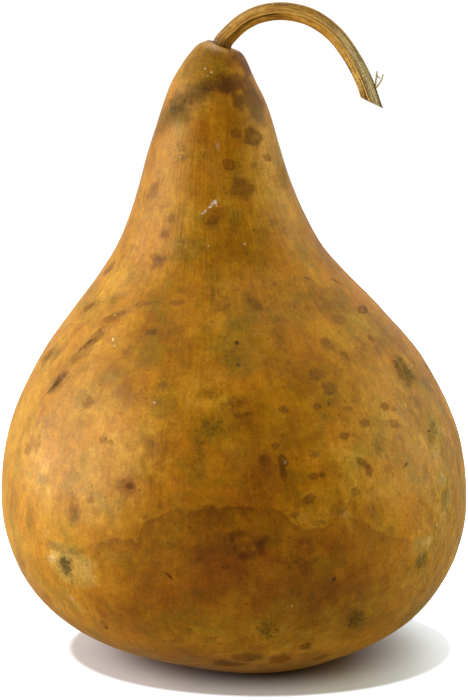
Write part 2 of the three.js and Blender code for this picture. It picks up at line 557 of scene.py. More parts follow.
@dataclass(frozen=True)
class MarkLook:
    """How one kind of mark looks.

    The rind's own colour is multiplied by the tint, or replaced by it as far as the mark is opaque.
    Tone is how strong its body, its darker rim and its core are, softness is how far its edge runs
    in, as a share of its size, grain is how far it is broken up into grains, and relief is how high
    it stands, in millimetres.
    """

    tint: Colour
    tone: tuple[float, float, float]
    softness: float
    relief: float = 0.0
    opacity: float = 0.0
    grain: float = 0.0


class MarkKind(Enum):
    """The kinds of small mark on the shell."""

    SPOT = MarkLook((0.53, 0.46, 0.44), (0.82, 0.22, 0.0), 0.6)
    HOLLOW_SPOT = MarkLook((0.46, 0.42, 0.42), (0.9, 0.35, -0.35), 0.5)
    RING = MarkLook((0.58, 0.50, 0.42), (0.45, 1.2, 0.2), 0.35)
    STAIN = MarkLook((0.54, 0.47, 0.42), (0.85, 0.0, 0.15), 0.7)
    BLOT = MarkLook((0.48, 0.48, 0.50), (0.85, 0.0, 0.15), 0.75)
    MOULD = MarkLook((0.40, 0.44, 0.46), (0.9, 0.0, 0.3), 0.75, 0.05, 0.0, 0.55)
    # a groove's darker tint is painted shade along the crease
    SHADED_GROOVE = MarkLook((0.58, 0.50, 0.42), (0.75, 0.0, 0.2), 0.9, -0.3)
    PINHOLE = MarkLook((0.06, 0.04, 0.02), (0.9, 0.0, 0.1), 0.35, -0.12)
    SCRATCH = MarkLook((0.34, 0.20, 0.14), (0.9, 0.0, 0.1), 0.5, -0.1)
    # a pimple's opaque golden core is a painted glint
    PIMPLE_AND_GLINT = MarkLook((0.66, 0.45, 0.16), (0.2, 1.0, 0.8), 0.4, 0.30, 1.0)
    CHIP = MarkLook((0.78, 0.72, 0.68), (0.95, 0.0, 0.2), 0.6, 0.05, 1.0, 0.6)
    CRUST = MarkLook((1.10, 1.42, 6.5), (0.95, 0.1, 0.0), 0.45, 0.15, 0.0, 0.25)


@dataclass(frozen=True)
class Mark:
    """A small mark: its kind, its size in millimetres, its turn in degrees and its strength."""

    kind: MarkKind
    size: tuple[float, float]
    turn: float = 0.0
    strength: float = 1.0


# [pixel across, pixel down, width, height, turn in degrees, strength]
SEEN_MARKS: dict[MarkKind, Sequence[Sequence[float]]] = {
    MarkKind.SPOT: (
        (236.4, 133.7, 4.4, 4.6, 0, 1.0),
        (254.0, 165.0, 2.8, 2.8, 0, 0.9),
        (267.7, 157.6, 3.8, 3.2, 0, 1.0),
        (262.0, 169.0, 2.0, 2.0, 0, 0.6),
        (171.0, 219.0, 4.0, 3.6, 0, 0.6),
        (165.0, 234.0, 4.0, 3.4, 0, 0.8),
        (133.0, 247.0, 4.0, 3.2, 0, 0.5),
        (155.0, 257.0, 5.0, 3.6, -20, 0.7),
        (176.0, 302.5, 6.0, 3.2, 10, 1.0),
        (152.0, 332.5, 5.4, 3.0, 8, 1.15),
        (163.6, 385.0, 4.0, 4.0, 0, 0.9),
        (60.0, 379.0, 9.0, 3.4, 48, 1.0),
        (53.0, 388.0, 6.0, 2.6, 48, 0.9),
        (90.0, 306.0, 6.0, 2.8, 40, 0.7),
        (141.0, 304.0, 7.0, 2.2, 20, 0.5),
        (103.0, 439.5, 3.4, 3.0, 0, 0.8),
        (110.6, 442.0, 2.4, 2.2, 0, 0.7),
        (28.0, 448.6, 2.6, 6.0, 0, 0.8),
        (130.0, 486.0, 3.2, 2.8, 0, 1.0),
        (91.0, 500.0, 3.4, 3.2, 0, 0.9),
        (144.0, 516.7, 3.0, 2.4, 0, 0.8),
        (339.0, 319.6, 6.0, 5.0, 0, 0.55),
        (371.4, 338.4, 4.0, 3.0, -35, 0.9),
        (317.8, 374.6, 6.2, 5.6, 0, 0.95),
        (328.5, 388.0, 6.0, 6.0, 0, 1.05),
        (283.5, 410.0, 3.8, 3.2, 0, 1.4),
        (317.0, 406.8, 4.0, 3.4, 0, 1.2),
        (348.0, 408.7, 4.4, 2.2, 0, 0.8),
        (385.0, 406.8, 3.6, 4.0, 0, 1.1),
        (394.0, 408.7, 2.2, 2.6, 0, 0.8),
        (364.7, 423.0, 4.0, 3.6, 0, 0.9),
        (394.0, 424.0, 6.4, 3.8, -15, 0.8),
        (345.0, 436.0, 4.0, 3.8, 0, 1.2),
        (354.0, 435.0, 2.2, 2.0, 0, 0.7),
        (275.4, 445.7, 3.8, 3.2, 0, 1.1),
        (265.5, 460.5, 5.4, 5.0, 0, 1.0),
        (284.0, 474.0, 3.2, 6.0, 0, 1.05),
        (315.0, 455.0, 3.4, 2.8, 0, 0.8),
        (314.0, 476.4, 4.6, 3.2, 0, 1.1),
        (322.4, 475.0, 2.6, 2.4, 0, 1.1),
        (309.8, 498.8, 7.0, 4.0, 25, 1.15),
        (356.0, 491.8, 3.8, 4.0, 0, 1.0),
        (340.6, 475.0, 2.4, 3.0, 0, 0.5),
        (379.5, 444.4, 6.0, 8.0, 0, 0.6),
        (363.4, 463.0, 6.0, 3.2, -35, 1.2),
        (368.8, 469.8, 3.2, 5.0, 0, 1.1),
        (387.5, 468.5, 5.0, 4.0, 0, 0.6),
        (339.0, 507.0, 9.0, 5.0, 10, 0.8),
        (294.4, 515.0, 3.2, 2.6, 0, 1.0),
        (318.0, 522.6, 6.2, 2.8, 0, 0.8),
        (309.0, 564.0, 2.6, 2.6, 0, 0.6),
        (226.0, 566.0, 4.0, 3.4, 0, 0.8),
        (104.5, 624.0, 3.6, 2.6, -25, 0.7),
        (280.4, 659.5, 9.0, 5.0, 0, 1.1),
        (247.0, 657.5, 13.0, 4.0, 0, 1.1),
        (322.0, 657.0, 6.0, 4.0, 0, 0.9),
        (229.0, 664.0, 14.0, 4.0, 0, 1.1),
    ),
    # grooves across the left shoulder: pressed into the shell, with painted shade along each
    MarkKind.SHADED_GROOVE: (
        (117.0, 317.0, 18.0, 4.4, 36, 1.2),
        (98.0, 337.0, 18.0, 4.4, 46, 1.2),
        (80.0, 356.0, 14.0, 5.0, 45, 0.9),
        (60.0, 381.0, 12.0, 6.0, 52, 0.6),
        (90.0, 306.0, 12.0, 4.0, 42, 0.7),
        (78.0, 330.0, 12.0, 4.0, 50, 0.6),
        (101.0, 303.0, 12.0, 4.0, 40, 0.5),
        (60.0, 352.0, 12.0, 5.0, 55, 0.7),
        (48.0, 358.0, 10.0, 4.0, 60, 0.7),
        (45.0, 390.0, 12.0, 4.0, 62, 0.6),
        (120.0, 296.0, 10.0, 4.0, 35, 0.5),
        (30.0, 420.0, 12.0, 4.0, 75, 0.4),
    ),
    MarkKind.HOLLOW_SPOT: ((253.7, 136.7, 7.8, 8.4, 0, 1.2), (283.0, 461.8, 4.2, 6.2, 0, 1.1)),
    MarkKind.RING: ((228.6, 164.5, 5.0, 5.0, 0, 1.0), (362.6, 309.7, 3.6, 3.6, 0, 1.5)),
    MarkKind.STAIN: (
        (283.0, 178.0, 7.0, 12.0, 10, 0.7),
        (242.4, 188.0, 11.0, 9.0, 0, 1.3),
        (153.0, 190.0, 4.4, 9.0, -35, 0.9),
        (47.0, 355.0, 8.0, 6.0, 30, 0.7),
        (88.6, 402.0, 5.4, 6.0, 0, 0.9),
        (328.5, 344.6, 8.0, 5.4, -20, 1.1),
        (35.5, 443.0, 6.0, 8.0, 0, 0.6),
        (72.0, 512.0, 5.0, 11.0, 0, 0.9),
        (128.0, 487.0, 10.0, 8.0, 10, 0.9),
        (97.0, 512.0, 5.0, 4.0, 0, 0.5),
        (60.0, 548.0, 14.0, 4.0, 0, 0.8),
    ),
    MarkKind.BLOT: (
        (171.0, 113.0, 15.0, 16.0, 20, 0.8),
        (186.0, 101.0, 27.0, 13.0, 32, 0.95),
        (198.0, 93.0, 11.0, 9.0, 15, 0.7),
        (65.0, 567.0, 5.4, 8.4, 0, 1.0),
        (404.0, 372.0, 9.0, 15.0, -20, 0.6),
    ),
    MarkKind.MOULD: (
        (406.0, 371.0, 8.0, 13.0, -20, 0.75),
        (396.5, 366.0, 2.6, 9.0, -20, 0.8),
        (430.5, 431.0, 6.5, 10.0, 10, 0.65),
        (445.6, 500.0, 5.0, 13.0, 0, 0.7),
        (65.0, 565.0, 6.2, 9.0, 0, 1.5),
        (72.0, 582.0, 4.0, 5.0, -30, 0.5),
        (267.8, 630.4, 8.6, 7.4, 0, 1.4),
        (354.6, 619.0, 8.0, 9.0, 0, 1.1),
        (305.6, 646.7, 4.6, 4.0, 0, 1.2),
        (420.4, 561.0, 4.4, 9.0, -15, 0.9),
        (182.0, 148.0, 4.0, 5.0, 0, 0.6),
        (181.0, 159.0, 5.0, 4.0, 0, 0.8),
    ),
    MarkKind.PINHOLE: (
        (237.0, 343.0, 2.0, 1.7, 0, 0.9),
        (238.0, 365.0, 1.6, 1.4, 0, 0.7),
        (274.0, 284.0, 1.6, 1.1, 0, 0.5),
        (328.5, 404.0, 0.8, 1.6, 10, 0.9),
        (405.8, 465.0, 2.4, 0.8, 30, 0.9),
        (429.0, 431.0, 1.1, 1.1, 0, 0.8),
        (434.0, 424.0, 0.9, 1.4, 0, 0.8),
        (334.0, 579.0, 1.4, 2.0, -20, 0.85),
        (106.7, 628.0, 1.6, 1.4, 0, 0.7),
    ),
    MarkKind.SCRATCH: (
        (169.5, 576.5, 4.8, 1.0, -45, 1.0),
        (110.0, 316.0, 9.0, 1.3, 38, 0.4),
        (98.0, 331.0, 8.0, 1.4, 48, 0.55),
        (87.0, 344.0, 8.0, 1.4, 46, 0.5),
        (60.0, 380.0, 9.0, 1.6, 50, 0.3),
        (50.0, 390.0, 6.0, 1.3, 52, 0.5),
        (150.0, 303.0, 7.0, 1.0, 22, 0.4),
        (309.0, 279.0, 6.0, 0.9, -35, 0.7),
        (337.0, 282.0, 7.0, 0.9, -40, 0.7),
        (243.0, 508.5, 14.0, 0.9, 0, 0.3),
    ),
    # pimples: raised cells whose light cores are painted glints
    MarkKind.PIMPLE_AND_GLINT: (
        (205.4, 68.4, 1.8, 1.8, 0, 1.0),
        (211.4, 72.5, 1.8, 1.8, 0, 1.0),
        (208.0, 76.0, 1.2, 1.2, 0, 0.8),
        (176.0, 144.0, 1.8, 1.8, 0, 0.9),
        (180.6, 157.0, 1.8, 1.8, 0, 0.9),
        (169.6, 154.0, 1.4, 1.4, 0, 0.9),
        (244.8, 244.0, 2.0, 1.8, 0, 0.8),
        (209.0, 246.0, 1.6, 1.6, 0, 0.7),
        (144.0, 208.0, 0.9, 3.6, -20, 0.6),
        (63.0, 378.0, 2.0, 1.6, 40, 0.9),
        (113.0, 340.0, 2.2, 3.2, 20, 1.3),
        (115.0, 346.0, 1.4, 1.6, 0, 0.9),
        (115.0, 315.0, 1.6, 1.6, 0, 1.0),
        (124.0, 295.0, 1.2, 1.2, 0, 0.7),
        (163.6, 418.8, 1.4, 1.2, 0, 0.5),
        (409.0, 368.0, 1.6, 1.6, 0, 0.5),
        (292.0, 606.0, 1.9, 1.7, 0, 0.9),
        (66.5, 560.0, 2.2, 2.0, 0, 0.8),
        (437.0, 539.0, 1.1, 1.9, 0, 0.9),
        (436.0, 549.0, 1.0, 1.6, 0, 0.9),
        (445.0, 507.0, 1.0, 1.8, 0, 0.8),
        (444.0, 523.0, 1.0, 1.8, 0, 0.9),
        (439.0, 527.0, 1.0, 1.3, 0, 0.8),
        (432.0, 560.0, 1.0, 1.4, 0, 0.8),
    ),
    MarkKind.CHIP: (
        (214.0, 203.0, 2.8, 2.2, 30, 1.0),
        (216.6, 205.6, 0.7, 1.4, -10, 0.8),
        (209.8, 207.2, 1.9, 0.7, 25, 0.8),
        (205.0, 211.0, 1.3, 1.5, 0, 0.9),
        (202.2, 213.4, 1.3, 0.6, 30, 0.7),
        (217.0, 147.0, 1.6, 4.4, 10, 0.25),
        # this one is a painted glint rather than a chip
        (154.6, 402.5, 1.4, 1.0, 0, 0.7),
        (285.3, 461.8, 0.9, 2.2, 0, 0.5),
    ),
    MarkKind.CRUST: (
        (69.5, 566.0, 22.0, 15.0, -8, 1.5),
        (50.0, 557.0, 4.0, 5.0, 0, 0.3),
        (116.0, 557.5, 12.0, 5.0, 0, 0.5),
        (46.6, 538.0, 5.0, 7.0, 0, 0.5),
        (17.5, 536.0, 8.0, 8.0, 0, 0.7),
        (147.0, 642.4, 7.0, 3.0, 0, 0.7),
        (66.0, 590.0, 2.2, 9.0, 28, 0.7),
        (79.0, 607.0, 2.2, 10.0, 38, 0.7),
        (40.0, 578.0, 2.0, 9.0, 22, 0.6),
        (437.0, 434.0, 9.0, 22.0, 12, 0.9),
        (445.0, 490.0, 8.0, 28.0, 0, 0.9),
        (411.0, 372.0, 9.0, 18.0, -20, 0.7),
        (433.0, 455.0, 3.0, 9.0, 0, 0.6),
        (441.0, 476.0, 2.4, 9.0, 0, 0.6),
        (440.0, 540.0, 2.6, 9.0, -10, 0.6),
        (303.0, 517.0, 5.0, 4.0, 0, 0.4),
        (421.0, 549.0, 12.0, 9.0, 0, 1.1),
        (342.0, 514.0, 7.0, 4.0, 0, 0.4),
    ),
}


MARK_LAYERS = 12  # marks that lie close together are kept in different layers


class StainKind(Enum):
    """The kinds of broad stain, in the order in which the shell keeps them."""

    # partly darker rind, partly painted shade
    DARK_AND_SHADE = 0
    GREEN = 1
    RED = 2
    # partly paler rind, partly painted highlight
    PALE_AND_HIGHLIGHT = 3


@dataclass(frozen=True)
class Stain:
    """A broad stain: its kind, its size in millimetres, its turn in degrees and its strength."""

    kind: StainKind
    size: tuple[float, float]
    turn: float = 0.0
    strength: float = 1.0


# [pixel across, pixel down, width, height, turn in degrees, strength]
SEEN_STAINS: dict[StainKind, Sequence[Sequence[float]]] = {
    # Dark stains, partly darker rind and partly painted shade: those across the shoulder's upturned top near (222, 300)
    # and (255, 298), on the left belly near (40, 425) and (92, 403) and on the right shoulder near (366, 348) darken
    # the rind where light falls strongly.
    StainKind.DARK_AND_SHADE: (
        (180.0, 104.0, 22.0, 20.0, 15, 0.3),
        (221.0, 83.0, 18.0, 9.0, 0, 0.85),
        (242.0, 84.0, 14.0, 14.0, 0, 0.95),
        (244.0, 64.0, 8.0, 14.0, 0, 0.6),
        (156.0, 262.0, 12.0, 8.0, 20, 0.5),
        (405.0, 566.0, 16.0, 24.0, 0, 0.35),
        (408.0, 628.0, 20.0, 8.0, 35, 0.6),
        (251.0, 98.0, 15.0, 22.0, 8, 0.9),
        (257.0, 113.0, 9.0, 14.0, 8, 0.8),
        (212.0, 219.0, 16.0, 9.0, 40, 0.5),
        (281.0, 221.0, 14.0, 16.0, 0, 0.55),
        (245.0, 237.0, 14.0, 9.0, 0, 0.45),
        (186.0, 242.0, 20.0, 10.0, 20, 0.4),
        (110.0, 268.0, 14.0, 6.0, 50, 0.5),
        (187.0, 72.0, 8.0, 24.0, 25, 0.35),
        (255.0, 298.0, 14.0, 14.0, 0, 0.5),
        (222.0, 300.0, 16.0, 13.0, 0, 0.6),
        (366.0, 348.0, 28.0, 20.0, 0, 0.4),
        (343.0, 356.0, 16.0, 4.4, -42, 0.6),
        (214.0, 392.0, 20.0, 12.0, 0, 0.5),
        (238.0, 408.0, 20.0, 18.0, 0, 0.55),
        (215.0, 424.0, 20.0, 12.0, 0, 0.5),
        (200.0, 454.0, 10.0, 22.0, 0, 0.5),
        (402.0, 366.0, 8.0, 15.0, -20, 0.5),
        (74.0, 582.0, 7.0, 8.0, -30, 0.35),
        (245.0, 546.0, 22.0, 14.0, 0, 0.6),
        (300.0, 560.0, 22.0, 20.0, 0, 0.5),
        (76.0, 515.0, 7.0, 12.0, 0, 0.5),
        (20.0, 560.0, 8.0, 30.0, -8, 0.6),
        (40.0, 425.0, 20.0, 40.0, 8, 0.4),
        (92.0, 403.0, 26.0, 18.0, 0, 0.35),
    ),
    StainKind.GREEN: (
        (199.0, 66.0, 30.0, 20.0, 0, 1.2),
        (200.0, 48.0, 20.0, 12.0, 0, 1.2),
        (180.0, 106.0, 20.0, 18.0, 20, 0.45),
        (191.0, 250.0, 24.0, 14.0, 0, 1.0),
        (239.0, 338.0, 22.0, 18.0, 0, 1.2),
        (236.0, 366.0, 18.0, 14.0, 0, 0.9),
        (166.0, 322.0, 16.0, 24.0, 0, 0.4),
        (304.0, 297.0, 26.0, 9.0, 0, 0.7),
        (209.0, 430.0, 26.0, 18.0, 0, 0.9),
        (195.0, 469.0, 16.0, 22.0, 0, 0.8),
        (412.0, 376.0, 9.0, 18.0, -20, 0.7),
        (366.0, 322.0, 16.0, 52.0, 42, 0.9),
        (424.0, 385.0, 12.0, 34.0, 28, 0.7),
        (430.0, 428.0, 9.0, 14.0, 0, 0.5),
        (446.0, 495.0, 7.0, 20.0, 0, 0.6),
        (425.0, 562.0, 22.0, 28.0, 0, 0.8),
        (205.0, 625.0, 44.0, 16.0, 0, 0.8),
        (335.0, 618.0, 76.0, 28.0, 0, 0.9),
        (286.0, 170.0, 14.0, 60.0, 12, 0.6),
        (441.0, 440.0, 10.0, 60.0, 5, 0.5),
        (420.0, 610.0, 26.0, 14.0, 40, 1.2),
    ),
    StainKind.RED: (
        (244.0, 62.0, 9.0, 18.0, 8, 0.9),
        (250.0, 92.0, 12.0, 28.0, 8, 0.9),
        (232.0, 86.0, 22.0, 11.0, 0, 0.8),
        (204.0, 132.0, 12.0, 18.0, 0, 0.6),
        (217.0, 168.0, 24.0, 30.0, 0, 0.55),
        (238.0, 446.0, 26.0, 30.0, 0, 0.5),
        (214.0, 217.0, 20.0, 11.0, 35, 0.6),
        (205.0, 370.0, 30.0, 16.0, 0, 0.5),
        (247.0, 560.0, 60.0, 26.0, 0, 0.7),
        (262.0, 480.0, 40.0, 36.0, 0, 0.8),
        (318.0, 546.0, 44.0, 16.0, 0, 0.6),
        (120.0, 585.0, 50.0, 24.0, 0, 0.45),
        (150.0, 600.0, 40.0, 20.0, 0, 0.5),
        (35.0, 500.0, 12.0, 20.0, 0, 0.5),
        (320.0, 240.0, 18.0, 14.0, 0, 0.3),
    ),
    # Lighter stains, partly paler rind and partly painted highlight: those on the lit left belly, at the broad
    # highlight near (130, 425) and down the bright right edge lighten and whiten the rind where light falls.
    StainKind.PALE_AND_HIGHLIGHT: (
        (205.0, 106.0, 22.0, 10.0, 10, 0.8),
        (215.0, 160.0, 46.0, 40.0, 0, 0.4),
        (279.0, 175.0, 24.0, 60.0, 12, 1.1),
        (215.0, 228.0, 60.0, 34.0, 0, 0.75),
        (305.0, 250.0, 30.0, 30.0, -30, 0.6),
        (130.0, 425.0, 50.0, 50.0, 0, 0.7),
        (80.0, 436.0, 34.0, 50.0, 0, 0.3),
        (25.0, 470.0, 24.0, 60.0, 0, 0.8),
        (48.0, 590.0, 16.0, 28.0, 30, 0.6),
        (441.0, 470.0, 14.0, 50.0, 0, 1.4),
        (428.0, 545.0, 14.0, 30.0, -15, 0.9),
        (400.0, 592.0, 36.0, 32.0, 0, 1.0),
        (300.0, 195.0, 14.0, 44.0, 15, 1.0),
        (338.0, 466.0, 48.0, 46.0, 0, 0.9),
        (290.0, 443.0, 30.0, 26.0, 0, 0.85),
        (162.0, 465.0, 18.0, 30.0, 0, 0.6),
        (438.0, 416.0, 11.0, 36.0, 15, 1.0),
        (366.0, 322.0, 14.0, 50.0, 42, 0.8),
        (426.0, 392.0, 10.0, 34.0, 25, 0.8),
        (300.0, 408.0, 30.0, 22.0, 0, 0.5),
        (365.0, 500.0, 30.0, 18.0, 0, 0.6),
        (312.0, 524.0, 17.0, 6.0, 0, 1.0),
        (346.0, 513.0, 8.0, 5.0, 0, 0.7),
        (110.0, 290.0, 26.0, 12.0, 50, 0.4),
        (250.0, 644.0, 80.0, 14.0, 0, 1.0),
        (340.0, 645.0, 40.0, 8.0, 0, 0.9),
        (338.0, 606.0, 60.0, 24.0, 0, 1.0),
    ),
}

# The line to which the shell once stood in damp ground, and how clear it is there; below it the
# rind is darker and redder.
TIDE_LINE = (
    ((20, 560), 0.15),
    ((60, 556), 0.25),
    ((88, 548), 0.6),
    ((101, 541), 0.7),
    ((119, 540), 0.7),
    ((137, 541), 0.7),
    ((141, 526), 0.8),
    ((150, 519), 0.8),
    ((162, 513), 0.9),
    ((180, 512), 0.9),
    ((200, 509), 1.0),
    ((227, 508), 1.0),
    ((258, 508), 1.0),
    ((283, 512), 1.0),
    ((292, 521), 1.0),
    ((300, 530), 1.0),
    ((324, 530), 1.0),
    ((334, 512), 1.0),
    ((345, 508), 0.95),
    ((352, 519), 0.95),
    ((368, 521), 0.9),
    ((378, 533), 0.8),
    ((409, 539), 0.5),
    ((440, 545), 0.0),
)


@dataclass(frozen=True)
class Spot:
    """A mark's place on the shell: its middle, its right and up directions and its outward normal."""

    middle: np.ndarray
    right: np.ndarray
    up: np.ndarray
    outward: np.ndarray

    def turned(self, degrees: float) -> Spot:
        """The same place with its directions turned anticlockwise."""
        angle = math.radians(degrees)
        right = self.right * math.cos(angle) + self.up * math.sin(angle)
        up = self.up * math.cos(angle) - self.right * math.sin(angle)
        return Spot(self.middle, right, up, self.outward)

    def local(self, points: np.ndarray, size: tuple[float, float]) -> np.ndarray:
        """Points in the mark's own terms: 1 is its edge, across, up and outward."""
        away = points - self.middle
        halves = (size[0] / 2, size[1] / 2, max(size) / 2)
        axes = (self.right, self.up, self.outward)
        return np.column_stack([away @ axis / half for axis, half in zip(axes, halves)])


@dataclass
class SkinMap:
    """Finds places on the bare shell, and writes marks and stains onto its points."""

    points: np.ndarray
    faces: Sequence[Sequence[int]]
    camera: PhotoCamera
    layers: int = MARK_LAYERS
    mark_reach: float = 1.6  # how far past its edge a mark is written
    face_width: float = 2.9  # the longest way across a face
    golden: float = 0.618034  # spreads the marks' lots evenly
    nothing: float = 9.0  # the first term where no mark is near

    def __post_init__(self) -> None:
        """Prepare the search tree."""
        self.tree = BVHTree.FromPolygons((self.points * MM).tolist(), self.faces)

    def spot(self, middle: Vector, outward: Vector) -> Spot:
        """The place round a point of the shell, with right and up as seen from outside."""
        normal = np.array(outward.normalized())
        right = unit(np.cross([0.0, 0.0, 1.0], normal))
        return Spot(np.array(middle) / MM, right, np.cross(normal, right), normal)

    def seen(self, seen_at: Pixel) -> Spot:
        """The place that the photograph shows at a pixel, or the nearest one to its edge."""
        origin, ray = self.camera.place, self.camera.ray(seen_at)
        middle, normal, _, _ = self.tree.ray_cast(origin, ray)
        if middle is None:
            reach = (Vector((0.0, 0.0, 0.1)) - origin).dot(ray)
            middle, normal, _, _ = self.tree.find_nearest(origin + ray * reach)
        return self.spot(middle, normal)

    def true_size(self, spot: Spot, turn: float, seen_size: tuple[float, float]) -> tuple[float, float]:
        """The size on the shell of a mark whose size is known as the camera sees it, foreshortened."""
        view = unit(spot.middle - np.array(self.camera.place) / MM)
        turned = spot.turned(turn)
        shares = [max(math.sqrt(1.0 - float(axis @ view) ** 2), 0.4) for axis in (turned.right, turned.up)]
        return seen_size[0] / shares[0], seen_size[1] / shares[1]

    def bearing_spot(self, bearing: float, height: float) -> Spot:
        """The place at a compass angle round the shell, in radians, and a height in millimetres."""
        outside = Vector((math.cos(bearing), math.sin(bearing), 0.0))
        origin = outside + Vector((0.0, 0.0, height * MM))
        middle, normal, _, _ = self.tree.ray_cast(origin, -outside)
        return self.spot(middle, normal)

    def stain_field(self, placed: Iterable[tuple[Stain, Spot]]) -> np.ndarray:
        """How strongly each kind of stain covers each point: one column for each kind."""
        field_values = np.zeros((len(self.points), len(StainKind)))
        for stain, spot in placed:
            local = spot.turned(stain.turn).local(self.points, stain.size)
            cover = stain.strength * np.exp(-1.1 * (local**2).sum(axis=1))
            column = field_values[:, stain.kind.value]
            np.maximum(column, cover, out=column)
        return field_values

    def layered(self, placed: Sequence[tuple[Mark, Spot]]) -> list[list[tuple[Mark, Spot]]]:
        """Share the marks out over layers, so that those of one layer stay well apart.

        Args:
            placed: The marks and their places.

        Returns:
            The marks of each layer.
        """
        layers: list[list[tuple[Mark, Spot]]] = [[] for _ in range(self.layers)]
        for mark, spot in sorted(placed, key=lambda pair: -max(pair[0].size)):
            for layer in layers:
                if all(self._apart(mark, spot, *other) for other in layer):
                    layer.append((mark, spot))
                    break
            else:
                LOG.warning("no layer has room for a mark of %.1f mm", max(mark.size))
        return layers

    def _reach(self, mark: Mark) -> float:
        """How far from its middle a mark needs the points of the shell."""
        return max(mark.size) / 2 * self.mark_reach + self.face_width

    def _apart(self, mark: Mark, spot: Spot, other: Mark, there: Spot) -> bool:
        """Whether two marks may share a layer: no face may hold points of both."""
        least = self._reach(mark) + self._reach(other) + 2 * self.face_width
        return bool(np.linalg.norm(spot.middle - there.middle) > least)

    def write_layer(self, mesh: bpy.types.Mesh, number: int, layer: Iterable[tuple[Mark, Spot]]) -> None:
        """Store one layer of marks on the mesh.

        Args:
            mesh: The shell's mesh, whose points are this map's.
            number: The layer's number.
            layer: Its marks and their places.
        """
        local = np.tile([self.nothing, 0.0, 0.0], (len(self.points), 1))
        tone = np.zeros((len(self.points), 4))
        tint = np.zeros((len(self.points), 4))
        surface = np.zeros((len(self.points), 3))
        for index, (mark, spot) in enumerate(layer):
            away = np.linalg.norm(self.points - spot.middle, axis=1)
            near = away < self._reach(mark)
            round_it = away < self._reach(mark) + self.face_width
            look: MarkLook = mark.kind.value
            own = spot.turned(mark.turn).local(self.points[round_it], mark.size)
            lot = (index * self.golden) % 1.0
            local[round_it] = own * (1.0, 1.0, 0.0) + (0.0, 0.0, lot)
            tone[near] = (*(share * mark.strength for share in look.tone), look.softness)
            tint[near] = (*look.tint, look.relief)
            surface[near] = (look.opacity, look.grain, 0.0)
        store(mesh, f"mark_{number}", local)
        store(mesh, f"tone_{number}", tone)
        store(mesh, f"tint_{number}", tint)
        store(mesh, f"surface_{number}", surface)


# --------------------------------------------------------------------------- shell


